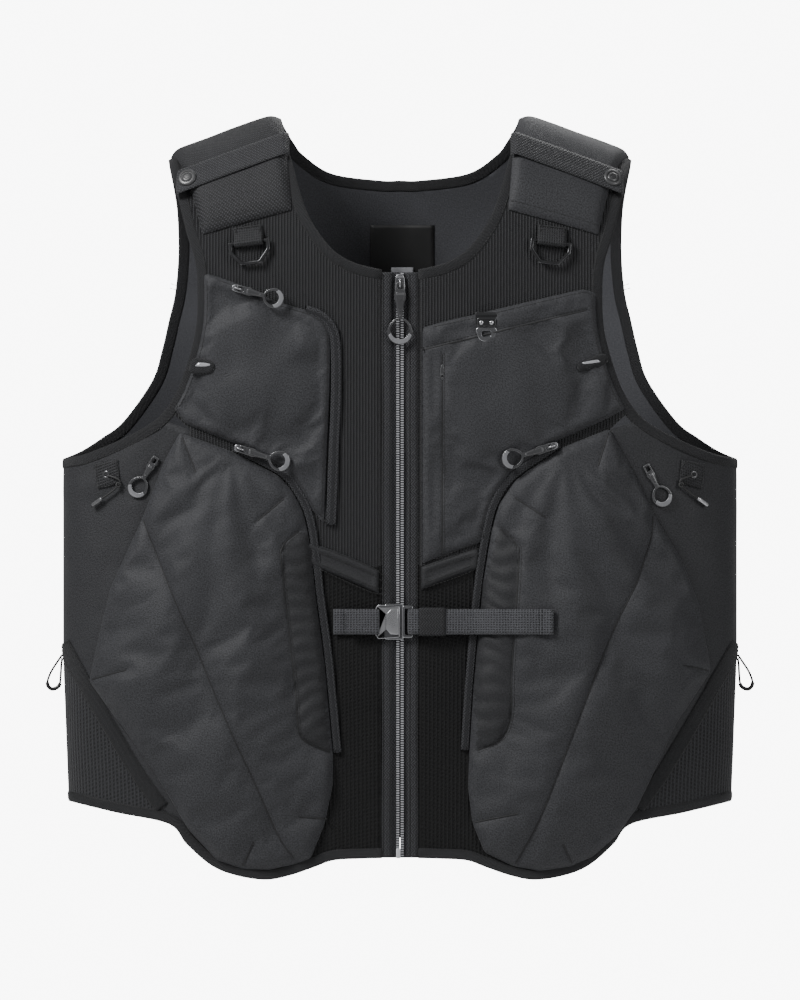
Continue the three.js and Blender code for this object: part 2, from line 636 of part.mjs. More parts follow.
const strapUnder = padOver + 0.4;
const keeperStops = [[-99, 3], [-100.4, 3], [-101.7, strapUnder], [-112, strapUnder], [-124, strapUnder],
  [-136, strapUnder], [-148, strapUnder], [-160, strapUnder], [-172, strapUnder], [-184, strapUnder],
  [-197.5, strapUnder], [-199.5, 4.2]];
const keeperHigh = 18;
const keeperSolid = thicken(keeperStops.length - 1, 2, (i, j) => {
  const [x, under] = keeperStops[i];
  const z = ridge(x) - keeperHigh - keeperWidth * j / 2;
  return [onForm(-1, x, z, under).point, onForm(-1, x, z, under + webbingThickness).point];
});
const capX = -189;
const capZ = ridge(capX) - keeperHigh - keeperWidth / 2;
const capSeat = seatOn(capX, capZ, strapUnder + webbingThickness + 0.5);
const cap = placed(plate(ringPoints(0, 0, capDiameter / 2, capDiameter / 2, 20), 2.4), capSeat);

// D-ring tab: webbing folded round the straight bar of the ring
const tabWidth = 26;
const tabProfile = [[9, 0], [-8.3, 0], [-9.6, 1.3], [-9.6, 4.9], [-8.3, 6.2], [9, 6.2], [9, 5.1], [-8.2, 5.1],
  [-8.5, 4.8], [-8.5, 1.4], [-8.2, 1.1], [9, 1.1]];
function tabGeometry() {
  const geometry = plate(tabProfile, tabWidth);
  geometry.applyMatrix4(new THREE.Matrix4().makeBasis(new THREE.Vector3(0, 1, 0), new THREE.Vector3(0, 0, 1),
    new THREE.Vector3(1, 0, 0)));
  geometry.translate(-tabWidth / 2, 0, 0);
  return geometry;
}
function ringGeometry() {
  const half = ringWidth / 2;
  const low = -4.7 - ringHeight + 2.7;
  const outer = [[-half, -4.7], [-half, -14], [-9, low], [9, low], [half, -14], [half, -4.7]];
  const inner = [[-half + ringStock, -7.3], [-half + ringStock, -13], [-7.4, low + ringStock], [7.4, low + ringStock],
    [half - ringStock, -13], [half - ringStock, -7.3]];
  const geometry = plate(outer, 2.6, [inner]);
  geometry.translate(0, 0, 1.8);
  return geometry;
}
const ringSeat = seatOn(-136, -107, clothThickness + 0.3, 7 * Math.PI / 180);
const cordTab = [[-275, -311], [-253, -307.5], [-251, -329], [-271, -334]];

for (const [name, sign] of [['right', -1], ['left', 1]]) {
  const turn = (geometry) => sign < 0 ? geometry : flipX(geometry);
  add('shoulder_pad_' + name, turn(cut(padSolid(0), tapeRooms[0], tapeRooms[1])), cloth);
  add('keeper_strap_' + name, turn(cut(keeperSolid, padSolid(0.35))), webbing);
  add('snap_cap_' + name, turn(cap), rubber);
  add('ring_tab_' + name, turn(placed(tabGeometry(), ringSeat)), webbing);
  add('d_ring_' + name, turn(placed(ringGeometry(), ringSeat)), darkMetal);
  const tabLayer = layer(-1, -1, -0.7, pocketUnder + 0.4, pocketUnder + 1.8);
  add('cord_tab_' + name, turn(keep(tabLayer, prism(cordTab, -1))), webbing);
}

// Chest strap and buckle, in the plane of the zip
const buckleSeat = seatOn(0, chestStrapZ, clothThickness - 1.8);
const acrossPlane = new THREE.Matrix4().makeBasis(new THREE.Vector3(1, 0, 0), new THREE.Vector3(0, 0, 1),
  new THREE.Vector3(0, -1, 0));
function strapFrom(outline, width) {
  const geometry = plate(outline, width);
  geometry.applyMatrix4(acrossPlane);
  geometry.translate(0, width / 2, 0);
  return placed(geometry, buckleSeat);
}
const strapRight = [[-57, 3.4], [-19, 3.4], [-17.6, 4.6], [-17.6, 7.8], [-19, 9], [-48, 9], [-48, 7.8], [-19.2, 7.8],
  [-18.8, 7.4], [-18.8, 5], [-19.2, 4.6], [-57, 4.6]];
add('chest_strap_right', strapFrom(strapRight, chestStrapWidth), webbing);

function radiusIn(outline, middle, x, z) {
  const dx = x - middle[0];
  const dz = z - middle[1];
  let best = 0;
  outline.forEach(([ax, az], i) => {
    const [bx, bz] = outline[(i + 1) % outline.length];
    const ex = bx - ax;
    const ez = bz - az;
    const det = dx * ez - dz * ex;
    const k = ((ax - middle[0]) * ez - (az - middle[1]) * ex) / det;
    const m = ((ax - middle[0]) * dz - (az - middle[1]) * dx) / det;
    if (k > 0 && m >= 0 && m <= 1) best = Math.max(best, 1 / k);
  });
  return best;
}
function tailHeight(x) {
  let high = 7.8;
  for (const dz of [-12, -6, 0, 6, 12]) {
    for (const dx of [-5, 0, 5]) {
      const z = chestStrapZ + dz;
      const r = radiusIn(pouchLeft, [160, -505], x + dx, z);
      if (r < 1.06 && r > 0) {
        const p = onForm(-1, x + dx, z, liftAt(Math.min(r, 1))).point;
        high = Math.max(high, -p.y - halfDepth - clothThickness + 3);
      }
    }
  }
  return high;
}
const tailStops = [58, 66, 74, 82, 92, 104, 120, chestStrapTailX].map((x) => [x, tailHeight(x)]);
const strapLeft = [[57, 3.4], [8, 3.4], [6.6, 4.6], [6.6, 7.8], [8, 9], ...tailStops.map(([x, z]) => [x - 0.5, z + 1.2]),
  ...tailStops.slice().reverse(), [8.2, 7.8], [7.8, 7.4], [7.8, 5], [8.2, 4.6], [57, 4.6]];
add('chest_strap_left', strapFrom(strapLeft, chestStrapWidth), webbing);

const hook = plate(rectangle(-22, -0.2, -14.5, 14.5), 2, [rectangle(-20, -15, -12, 12)]);
hook.translate(0, 0, 5.2);
add('buckle_hook', placed(join(hook, box(-13, -2, -12, 12, 7, 8.4)), buckleSeat), greyMetal);
const bar = plate(rectangle(2, 11.5, -14.5, 14.5), 2, [rectangle(4, 9.5, -12, 12)]);
bar.translate(0, 0, 5.2);
add('buckle_frame', placed(join(box(-14, 2.2, -16, 16, 2.9, 4.7), box(2, 3.9, -14.5, 14.5, 2.9, 5.4), bar), buckleSeat),
  greyMetal);

const keeperBand = plate(rectangle(-12.8, 12.8, 2.1, 10.4), 24, [rectangle(-11.8, 11.8, 3.1, 9.4)]);
keeperBand.applyMatrix4(new THREE.Matrix4().makeBasis(new THREE.Vector3(0, 1, 0), new THREE.Vector3(0, 0, 1),
  new THREE.Vector3(1, 0, 0)));
keeperBand.translate(17, 0, 0);
add('strap_keeper', placed(keeperBand, buckleSeat), webbing);

// Accessory clip on the left chest pocket
const clipSeat = seatOn(77.5, -188, pocketOver + gap);
add('clip_base', placed(join(box(-10, 10, 0, 13, 0, 1.2), box(-8.5, 8.5, 0, 8, 1, 4.2)), clipSeat), darkMetal);
add('clip_hook', placed(plate([[-8, -0.7], [-8, -8], [-4, -13], [4, -13], [8, -8], [8, -0.7]], 2.6,
  [[[-4, -4], [-4, -8], [-2, -9.5], [2, -9.5], [4, -8], [4, -4]]]), seatOn(77.5, -188, pocketOver + 1.4)), greyMetal);

// Cords
function cord(points, diameter) {
  const curve = new THREE.CatmullRomCurve3(points.map((p) => new THREE.Vector3(...p)));
  const circle = new THREE.Shape(ringPoints(0, 0, diameter / 2, diameter / 2, 8).map(([x, y]) => new THREE.Vector2(x, y)));
  const steps = Math.round(curve.getLength() / (diameter * 2.2));
  return new THREE.ExtrudeGeometry(circle, { steps, extrudePath: curve, bevelEnabled: false });
}
const overForm = (x, z, offset) => onForm(-1, x, z, offset).point.toArray();
add('clip_cord', cord([[74, -201.6], [73.5, -208], [76, -217], [82, -221], [88, -217], [89, -209], [83, -201.8]]
  .map(([x, z]) => overForm(x, z, 7.6)), cordDiameter), trim);
add('clip_grip', placed(plate([[0, 0], [12, 5], [11, 8], [0, 11], [-2, 6]], 3.4), seatOn(92, -221.5, 6)), rubber);
const sideSeam = halfWidth + clothThickness;
const sideCord = [[0.8, -2.6, -484], [4.2, -2.4, -489], [11.2, -1.6, -500], [14.2, 0, -510], [10.2, 1.4, -515],
  [3.7, 2, -512], [2.2, 2.4, -502], [1.6, 2.6, -492], [0.8, 2.8, -487]].map(([x, y, z]) => [sideSeam + x, y, z]);
const tabCordPoints = [[-262, -322, 2.8], [-256, -323.5, 3.5], [-250.5, -327, 3.5], [-254, -333, 3.5], [-260, -338, 3.5],
  [-267, -343, 3.5], [-275, -349, 3.5]].map(([x, z, o]) => [x, z, pocketUnder + o]);
for (const [name, sign] of [['right', -1], ['left', 1]]) {
  add('side_cord_' + name, cord(sideCord.map(([x, y, z]) => [sign * x, y, z]), cordDiameter), trim);
  add('tab_cord_' + name, cord(tabCordPoints.map(([x, z, o]) => overForm(-sign * x, z, o)), cordDiameter), trim);
}

export default vest;
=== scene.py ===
import bpy
import bmesh
import math
import numpy as np
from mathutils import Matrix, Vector, noise
from mathutils.bvhtree import BVHTree
from mathutils.geometry import delaunay_2d_cdt


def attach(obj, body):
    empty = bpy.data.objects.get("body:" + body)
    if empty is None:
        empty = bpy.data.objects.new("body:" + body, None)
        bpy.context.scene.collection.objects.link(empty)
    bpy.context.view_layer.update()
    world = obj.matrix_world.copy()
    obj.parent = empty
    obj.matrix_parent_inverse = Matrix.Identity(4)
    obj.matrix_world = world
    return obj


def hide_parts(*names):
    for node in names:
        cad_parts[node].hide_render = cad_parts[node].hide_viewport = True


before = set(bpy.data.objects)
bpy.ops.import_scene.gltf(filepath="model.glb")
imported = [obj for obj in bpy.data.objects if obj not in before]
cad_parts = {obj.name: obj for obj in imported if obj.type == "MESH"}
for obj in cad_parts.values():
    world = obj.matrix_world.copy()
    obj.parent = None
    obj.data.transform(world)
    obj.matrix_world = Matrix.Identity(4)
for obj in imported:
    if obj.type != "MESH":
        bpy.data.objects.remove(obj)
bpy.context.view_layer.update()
scene = bpy.context.scene
mm = 0.001

# the form of the garment, in millimetres
halfWidth = 303
hemHalfWidth = 298
taperTop = -485
hemSide = -616
halfDepth = 78
sectionPower = 2.6
shoulderRound = 150
neckHalf = 107
shoulderTip = 209
shoulderSlope = 0.379
bindingWidth = 9.5
bindingLift = (-0.6, 2.6, 0.9)
tapeEnd = -16.2
chestStrapZ = -453.6
bothSides = (("right", -1), ("left", 1))


def widthAt(z):
    return np.where(z > taperTop, halfWidth,
                    halfWidth - (halfWidth - hemHalfWidth) * (taperTop - z) / (taperTop - hemSide))


def ridge(x):
    return -1 - shoulderSlope * (np.hypot(x, 40) - math.hypot(neckHalf, 40))


def onForm(side, x, z, offset=0.0):
    x = np.asarray(x, float)
    z = np.minimum(np.asarray(z, float), ridge(x))
    width = widthAt(z)
    t = np.minimum(np.abs(x) / width, 1)
    sign = np.sign(x)
    depth = np.power(1 - t ** sectionPower, 1 / sectionPower)
    c = np.maximum(0, 1 - (ridge(x) - z) / shoulderRound)
    s = np.sqrt(np.maximum(0, 1 - c * c))
    slope = -shoulderSlope * x / np.hypot(x, 40)
    deep = depth ** sectionPower
    across = sign * t ** (sectionPower - 1) * s * s / width
    n = np.stack([halfDepth * (across - deep * c / shoulderRound * slope),
                  side * s * depth ** (sectionPower - 1) + 0 * x,
                  halfDepth * deep * c / shoulderRound], -1)
    n = n / np.linalg.norm(n, axis=-1, keepdims=True)
    p = np.stack([sign * t * width, side * halfDepth * depth * s, z], -1)
    return p + n * np.asarray(offset, float)[..., None], n


# plan coordinates laid flat: arc length round the section and down from the shoulder
arcT = np.linspace(0, 1, 2001)
arcY = halfDepth * np.power(1 - arcT ** sectionPower, 1 / sectionPower)
arcS = np.concatenate([[0], np.cumsum(np.hypot(np.diff(arcT * halfWidth), np.diff(arcY)))])
arcPhi = np.linspace(0, math.pi / 2, 501)
arcDrop = shoulderRound * (1 - np.cos(arcPhi))
arcDown = np.concatenate([[0], np.cumsum(np.hypot(np.diff(arcDrop), np.diff(halfDepth * np.sin(arcPhi))))])
arcTurn = arcDown[-1]


def toFlat(x, z):
    x = np.asarray(x, float)
    z = np.asarray(z, float)
    t = np.minimum(np.abs(x) / widthAt(z), 1)
    s = np.sign(x) * np.interp(t, arcT, arcS)
    drop = np.maximum(ridge(x) - z, 0)
    v = np.where(drop < shoulderRound, np.interp(drop, arcDrop, arcDown), arcTurn + drop - shoulderRound)
    return s, -v


def toPlan(s, v):
    t = np.interp(np.abs(s), arcS, arcT)
    x = np.sign(s) * t * halfWidth
    down = -v
    drop = np.where(down < arcTurn, np.interp(down, arcDown, arcDrop), down - arcTurn + shoulderRound)
    z = ridge(x) - drop
    return np.sign(s) * t * widthAt(z), z


def spline(points, step=4.0, closed=False):
    p = np.array(points, float)
    n = len(p)
    out = []
    last = n if closed else n - 1
    for i in range(last):
        if closed:
            a, b, c, d = p[(i - 1) % n], p[i], p[(i + 1) % n], p[(i + 2) % n]
        else:
            b, c = p[i], p[i + 1]
            a = p[i - 1] if i > 0 else 2 * b - c
            d = p[i + 2] if i + 2 < n else 2 * c - b
        count = max(1, int(np.linalg.norm(c - b) / step))
        for k in range(count):
            u = k / count
            out.append(0.5 * ((2 * b) + (c - a) * u + (2 * a - 5 * b + 4 * c - d) * u * u
                              + (3 * b - a - 3 * c + d) * u ** 3))
    if not closed:
        out.append(p[-1])
    return np.array(out)


def shifted(path, distance):
    path = np.array(path, float)
    d = np.gradient(path, axis=0)
    d = d / np.maximum(np.linalg.norm(d, axis=1, keepdims=True), 1e-9)
    return path + np.stack([-d[:, 1], d[:, 0]], 1) * distance


def distanceTo(points, path, closed=False):
    a = np.array(path, float)
    b = np.roll(a, -1, axis=0) if closed else a[1:]
    if not closed:
        a = a[:-1]
    points = np.asarray(points, float)
    best = np.full(len(points), 1e9)
    e = b - a
    ee = np.maximum((e * e).sum(1), 1e-9)
    for k in range(len(a)):
        w = points - a[k]
        u = np.clip((w @ e[k]) / ee[k], 0, 1)
        best = np.minimum(best, np.linalg.norm(w - u[:, None] * e[k], axis=1))
    return best


def insideOf(points, outline):
    points = np.asarray(points, float)
    x, z = points[:, 0], points[:, 1]
    inside = np.zeros(len(points), bool)
    a = np.array(outline, float)
    b = np.roll(a, -1, axis=0)
    for (ax, az), (bx, bz) in zip(a, b):
        if az == bz:
            continue
        crosses = (az > z) != (bz > z)
        at = (bx - ax) * (z - az) / (bz - az) + ax
        inside ^= crosses & (x < at)
    return inside


def softNoise(x, z, scale, seed):
    pairs = zip(np.ravel(x), np.ravel(z))
    return np.array([noise.noise(Vector((a / scale, b / scale, seed))) for a, b in pairs])


def assign(target, values):
    for key, value in values.items():
        setattr(target, key, value)


# node groups and materials
def newNode(tree, kind, inputs=None, **settings):
    n = tree.nodes.new(kind)
    assign(n, settings)
    for key, value in (inputs or {}).items():
        if isinstance(value, bpy.types.NodeSocket):
            tree.links.new(value, n.inputs[key])
        else:
            n.inputs[key].default_value = value
    return n


def maths(tree, operation, a, b=0.0, c=0.0):
    return newNode(tree, "ShaderNodeMath", {0: a, 1: b, 2: c}, operation=operation).outputs[0]


def baseMaterial(name):
    m = bpy.data.materials.new(name)
    m.use_nodes = True
    t = m.node_tree
    return m, t, t.nodes["Principled BSDF"]


def uvParts(tree):
    uv = newNode(tree, "ShaderNodeUVMap", uv_map="flat")
    parts = newNode(tree, "ShaderNodeSeparateXYZ", {0: uv.outputs[0]})
    return uv, parts.outputs[0], parts.outputs[1]


def wave(tree, value, pitch):
    angle = maths(tree, "MULTIPLY", value, 2 * math.pi / pitch)
    return maths(tree, "MULTIPLY_ADD", maths(tree, "SINE", angle), 0.5, 0.5)


def weaveHeight(t, pattern, u, v, plain):
    # how far the threads of each weave stand up, added to the plain height
    if pattern == "twill":
        return maths(t, "MULTIPLY_ADD", wave(t, maths(t, "ADD", u, v), 0.0011), 0.35, plain)
    if pattern == "rib":
        ribs = wave(t, u, 0.0027)
        rungs = maths(t, "MULTIPLY", wave(t, v, 0.0019), maths(t, "SUBTRACT", 1.0, ribs))
        return maths(t, "ADD", plain, maths(t, "MULTIPLY_ADD", rungs, 0.5, ribs))
    if pattern == "waffle":
        rungs = maths(t, "MULTIPLY", wave(t, v, 0.0036), 0.6)
        return maths(t, "ADD", plain, maths(t, "MAXIMUM", wave(t, u, 0.0036), rungs))
    if pattern == "tape":
        return maths(t, "MULTIPLY_ADD", wave(t, maths(t, "ADD", u, v), 0.0018), 0.6, plain)
    if pattern == "webbing":
        grid = maths(t, "MAXIMUM", wave(t, u, 0.0022), wave(t, v, 0.0026))
        return maths(t, "MULTIPLY_ADD", grid, 0.9, plain)
    if pattern == "herring":
        zig = maths(t, "PINGPONG", v, 0.0034)
        return maths(t, "MULTIPLY_ADD", wave(t, maths(t, "ADD", u, zig), 0.0026), 0.8, plain)
    rising = wave(t, maths(t, "ADD", u, v), 0.0030)
    falling = wave(t, maths(t, "SUBTRACT", u, v), 0.0030)
    return maths(t, "MULTIPLY_ADD", maths(t, "MULTIPLY", rising, falling), 0.9, plain)


def mixColour(tree, factor, a, b):
    n = tree.nodes.new("ShaderNodeMix")
    n.data_type = "RGBA"
    for socket, value in ((n.inputs[0], factor), (n.inputs[6], a), (n.inputs[7], b)):
        if isinstance(value, bpy.types.NodeSocket):
            tree.links.new(value, socket)
        else:
            socket.default_value = value
    return n.outputs[2]


def grey(value, blue=1.0):
    return (value, value * (1 + 0.025 * blue), value * (1 + 0.15 * blue), 1)


def setShader(bsdf, values):
    for label, value in values.items():
        bsdf.inputs[label].default_value = value


def connectSurface(t, bsdf, colour, rough, height, distance, strength):
    bump = newNode(t, "ShaderNodeBump", {"Height": height, "Distance": distance, "Strength": strength})
    t.links.new(colour, bsdf.inputs["Base Color"])
    t.links.new(rough, bsdf.inputs["Roughness"])
    t.links.new(bump.outputs[0], bsdf.inputs["Normal"])


def fabric(name, tone, pattern, roughness, sheen, depth, grain=0.35):
    m, t, bsdf = baseMaterial(name)
    uv, u, v = uvParts(t)
    coarse = newNode(t, "ShaderNodeTexNoise", {"Vector": uv.outputs[0], "Scale": 14.0, "Detail": 4.0})
    fine = newNode(t, "ShaderNodeTexNoise", {"Vector": uv.outputs[0], "Scale": 800.0, "Detail": 2.0})
    speck = maths(t, "MULTIPLY_ADD", fine.outputs[0], 4.2, -1.6)
    height = weaveHeight(t, pattern, u, v, maths(t, "MULTIPLY", speck, grain))
    # colour follows the weave height: the fine grain is the cloth's own, while the darker low parts and lighter
    # raised threads are painted shade and painted highlight
    gain, shift = (0.7, 0.25) if pattern in ("twill", "tape") else (1.05, -0.2)
    shade = maths(t, "MULTIPLY_ADD", height, gain, shift)
    clamp = maths(t, "MAXIMUM", maths(t, "MINIMUM", shade, 1.0), 0.0)
    colour = mixColour(t, clamp, grey(tone * 0.18), grey(tone * 1.7))
    worn = maths(t, "MULTIPLY", maths(t, "SUBTRACT", coarse.outputs[0], 0.5), 0.7)
    colour = mixColour(t, maths(t, "MAXIMUM", worn, 0.0), colour, grey(tone * 1.9))
    rough = maths(t, "MULTIPLY_ADD", coarse.outputs[0], 0.16, roughness - 0.08)
    setShader(bsdf, {"Sheen Weight": sheen, "Sheen Roughness": 0.45, "Specular IOR Level": 0.3})
    connectSurface(t, bsdf, colour, rough, height, depth, 1.0)
    return m


def hard(name, tone, roughness, metallic=0.0, edgeHighlight=0.3, coat=0.0):
    m, t, bsdf = baseMaterial(name)
    where = newNode(t, "ShaderNodeTexCoord").outputs["Object"]
    broad = newNode(t, "ShaderNodeTexNoise", {"Vector": where, "Scale": 90.0, "Detail": 5.0})
    fine = newNode(t, "ShaderNodeTexNoise", {"Vector": where, "Scale": 2400.0, "Detail": 2.0})
    geometry = newNode(t, "ShaderNodeNewGeometry")
    # painted highlight: sharp edges, where Pointiness is high, are lightened towards a pale grey
    edge = maths(t, "MULTIPLY", maths(t, "GREATER_THAN", geometry.outputs["Pointiness"], 0.53), edgeHighlight)
    mottled = mixColour(t, broad.outputs[0], grey(tone * 0.8, 0.5), grey(tone * 1.2, 0.5))
    colour = mixColour(t, edge, mottled, grey(min(1, tone * 2.6), 0.3))
    rough = maths(t, "MULTIPLY_ADD", broad.outputs[0], 0.2, roughness - 0.1)
    setShader(bsdf, {"Metallic": metallic, "Coat Weight": coat})
    connectSurface(t, bsdf, colour, rough, fine.outputs[0], 0.00004, 0.6)
    return m


softshell = fabric("softshell", 0.0185, "twill", 0.66, 0.05, 0.00012, 0.8)
# painted shade: a darker copy of softshell for the side panels, whose sides catch the lights
shadedSideShell = fabric("shadedSideShell", 0.014, "twill", 0.66, 0.05, 0.00012, 0.8)
insetCloth = fabric("insetCloth", 0.011, "twill", 0.66, 0.04, 0.00012, 0.8)
# the lining's own smooth cloth, made lighter as painted light for the shadowed inside of the back
liningWithPaintedLight = fabric("liningWithPaintedLight", 0.045, "twill", 0.7, 0.05, 0.0001, 0.3)
ribMesh = fabric("ribMesh", 0.0105, "rib", 0.7, 0.05, 0.0016, 0.2)
waffleMesh = fabric("waffleMesh", 0.0018, "waffle", 0.85, 0.0, 0.0010, 0.2)
ventMesh = fabric("ventMesh", 0.014, "waffle", 0.7, 0.05, 0.0010, 0.2)
tape = fabric("bindingTape", 0.011, "tape", 0.72, 0.05, 0.0009)
zipTape = fabric("zipTape", 0.022, "herring", 0.72, 0.05, 0.0004)
webbingCloth = fabric("webbing", 0.034, "webbing", 0.6, 0.08, 0.0008)
tabWebbing = fabric("tabWebbing", 0.011, "webbing", 0.65, 0.05, 0.0006)
keeperCloth = fabric("keeperWebbing", 0.034, "dobby", 0.6, 0.08, 0.0006)
elastic = fabric("elastic", 0.013, "herring", 0.7, 0.05, 0.0003)
dobbyCloth = fabric("dobbyCloth", 0.023, "dobby", 0.66, 0.05, 0.0004)
thread = hard("thread", 0.006, 0.7, 0, 0.0)
cordCloth = hard("cordBraid", 0.006, 0.6, 0, 0.1)
teethPlastic = hard("zipTeeth", 0.32, 0.3, 0.6, 0.3)
pullPlastic = hard("pullPlastic", 0.045, 0.28, 0.3, 0.6, 0.3)
# painted highlight: the lighter plastic for the crescent along the bottom of each pull's finger loop
crescentHighlightPlastic = hard("crescentHighlightPlastic", 0.17, 0.3, 0.2, 0.2, 0.2)
darkMetal = hard("darkMetal", 0.03, 0.25, 0.6, 0.9)
sliderMetal = hard("sliderMetal", 0.14, 0.26, 0.8, 0.9)
buckleMetal = hard("buckleMetal", 0.15, 0.28, 0.85, 0.9)
paleSlider = hard("paleSlider", 0.5, 0.35, 0.3, 0.3)
capPlastic = hard("capPlastic", 0.02, 0.38, 0, 0.5, 0.1)
reflective = hard("reflective", 0.30, 0.3, 0.4, 0.1)
labelCloth = hard("labelCloth", 0.008, 0.6, 0, 0.0)
whiteTag = hard("whiteTag", 0.55, 0.7, 0, 0.0)


# making meshes
made = {}


def linked(name, data):
    obj = bpy.data.objects.new(name, data)
    scene.collection.objects.link(obj)
    return obj


def evaluatedMesh(obj):
    graph = bpy.context.evaluated_depsgraph_get()
    return bpy.data.meshes.new_from_object(obj.evaluated_get(graph))


def polyCurve(name, lines, closed=False, dimensions="3D", **settings):
    curve = bpy.data.curves.new(name, "CURVE")
    curve.dimensions = dimensions
    assign(curve, settings)
    for points in lines:
        line = curve.splines.new("POLY")
        line.points.add(len(points) - 1)
        for target, p in zip(line.points, points):
            target.co = (p[0], p[1], p[2] if len(p) > 2 else 0, 1)
        line.use_cyclic_u = closed
    return curve


def curveMesh(name, curve, material):
    shape = bpy.data.objects.new(name + "Shape", curve)
    mesh = bpy.data.meshes.new_from_object(shape)
    bpy.data.objects.remove(shape)
    mesh.name = name
    mesh.materials.clear()
    mesh.materials.append(material)
    return mesh


def bandFaces(count, around, ring):
    # quads between rings of points, with an end cap at each end unless the band closes on itself
    faces = []
    for i in range(count if ring else count - 1):
        a, b = i * around, (i + 1) % count * around
        faces += [(a + k, a + (k + 1) % around, b + (k + 1) % around, b + k) for k in range(around)]
    if not ring:
        faces.append(tuple(range(around)))
        faces.append(tuple(range((count - 1) * around, count * around)))
    return faces


def makeObject(name, verts, faces, material, uv=None, smooth=True, body="body", replaces=(), slot=None,
               ride=True):
    mesh = bpy.data.meshes.new(name)
    mesh.from_pydata([tuple(p) for p in verts], [], [tuple(f) for f in faces])
    if uv is not None:
        layer = mesh.uv_layers.new(name="flat")
        loops = np.empty(len(mesh.loops), int)
        mesh.loops.foreach_get("vertex_index", loops)
        layer.data.foreach_set("uv", np.asarray(uv, float)[loops].ravel())
    mesh.materials.append(material)
    mesh.polygons.foreach_set("use_smooth", [smooth] * len(mesh.polygons))
    obj = linked(name, mesh)
    made[name] = obj
    if ride:
        settle(obj, body, replaces, slot)
    return obj


def settle(obj, body="body", replaces=(), slot=None):
    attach(obj, body)
    if replaces:
        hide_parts(*([replaces] if isinstance(replaces, str) else replaces))
    return obj


def faceOutward(obj):
    bm = bmesh.new()
    bm.from_mesh(obj.data)
    bmesh.ops.recalc_face_normals(bm, faces=bm.faces)
    if bm.calc_volume(signed=True) < 0:
        bmesh.ops.reverse_faces(bm, faces=bm.faces)
    bm.to_mesh(obj.data)
    bm.free()
    return obj


def addModifier(obj, kind, **settings):
    m = obj.modifiers.new(kind.lower(), kind)
    assign(m, settings)
    return m


def subdivided(obj):
    addModifier(obj, "SUBSURF", levels=1, render_levels=1)
    return bake(obj)


def bake(obj):
    mesh = evaluatedMesh(obj)
    obj.modifiers.clear()
    old = obj.data
    obj.data = mesh
    if old.users == 0 and isinstance(old, bpy.types.Mesh):
        bpy.data.meshes.remove(old)
    return obj


def flatLine(line):
    line = np.array(line, float)
    return np.stack(toFlat(line[:, 0], line[:, 1]), 1)


def cutUp(corners, step):
    # a closed outline in pieces of about one step
    edge = []
    for a, b in zip(corners, np.roll(corners, -1, axis=0)):
        n = max(1, int(np.linalg.norm(b - a) / step))
        edge += [a + (b - a) * k / n for k in range(n)]
    return np.array(edge)


def staggered(edge, step):
    # rows of points inside an edge, each row half a step across from the last
    low, high = edge.min(0), edge.max(0)
    grid = []
    v = low[1]
    while v < high[1]:
        s = np.arange(low[0] + (len(grid) % 2) * step / 2, high[0], step)
        grid.append(np.stack([s, np.full(len(s), v)], 1))
        v += step * 0.866
    grid = np.concatenate(grid)
    grid = grid[insideOf(grid, edge)]
    return grid[distanceTo(grid, edge, True) > step * 0.55]


# a cloth panel cut to an outline and laid on the form
class Panel:
    def __init__(self, name, side, outline, step, under, over, material, guides=(), turned=False, **facts):
        edge = cutUp(flatLine(outline), step)
        grid = staggered(edge, step)
        points = [Vector(p) for p in edge]
        edges = []
        for line in guides:
            flat = spline(flatLine(line), step)
            flat = flat[insideOf(flat, edge)]
            flat = flat[distanceTo(flat, edge, True) > step * 0.4]
            if len(flat) < 2:
                continue
            grid = grid[distanceTo(grid, flat) > step * 0.5]
            first = len(points)
            points += [Vector(p) for p in flat]
            edges += [(first + k, first + k + 1) for k in range(len(flat) - 1)]
        points += [Vector(p) for p in grid]
        loop = list(range(len(edge)))
        result = delaunay_2d_cdt(points, edges, [loop], 1, 1e-4)
        self.flat = np.array([tuple(p) for p in result[0]])
        tris = [tuple(f) for f in result[2]]
        x, z = toPlan(self.flat[:, 0], self.flat[:, 1])
        self.x, self.z = x, z
        self.side = side
        self.depth = distanceTo(self.flat, edge, True)
        offset = over(self) if callable(over) else np.full(len(x), float(over))
        self.offset = offset
        top = onForm(side, x, z, offset)[0]
        bottom = onForm(side, x, z, np.minimum(under, offset - 0.3))[0]
        n = len(x)
        sides = {}
        for a, b, c in tris:
            for e in ((a, b), (b, c), (c, a)):
                sides[e] = sides.get(e, 0) + 1
        rim = [e for e in sides if (e[1], e[0]) not in sides]
        faces = list(tris) + [(a + n, c + n, b + n) for a, b, c in tris]
        faces += [(b, a, a + n, b + n) for a, b in rim]
        verts = np.concatenate([top, bottom]) * mm
        uv = np.concatenate([self.flat, self.flat]) * mm
        if turned:
            uv = uv @ np.array([[0.94, 0.34], [-0.34, 0.94]])
        area = 0.0
        for a, b, c in tris:
            p, q, r = self.flat[a], self.flat[b], self.flat[c]
            area += abs((q[0] - p[0]) * (r[1] - p[1]) - (r[0] - p[0]) * (q[1] - p[1])) / 2
        self.area = area * 1e-6
        self.size = tuple(float(a) for a in (edge.max(0) - edge.min(0)) * mm)
        self.obj = makeObject(name, verts, faces, material, uv, **facts)
        faceOutward(self.obj)
        self.count = n
        print("panel", name, len(faces))

    def near(self, line):
        return distanceTo(self.flat, spline(flatLine(line), 4))


def paired(lines, gap=1.5):
    out = []
    for line in lines:
        path = spline(line, 6)
        out += [path, shifted(path, gap), shifted(path, -gap)]
    return out


def groove(panel, lines, depth, width):
    cut = np.zeros(len(panel.x))
    for line in lines:
        cut = np.maximum(cut, depth * np.exp(-(panel.near(line) / width) ** 2))
    return cut


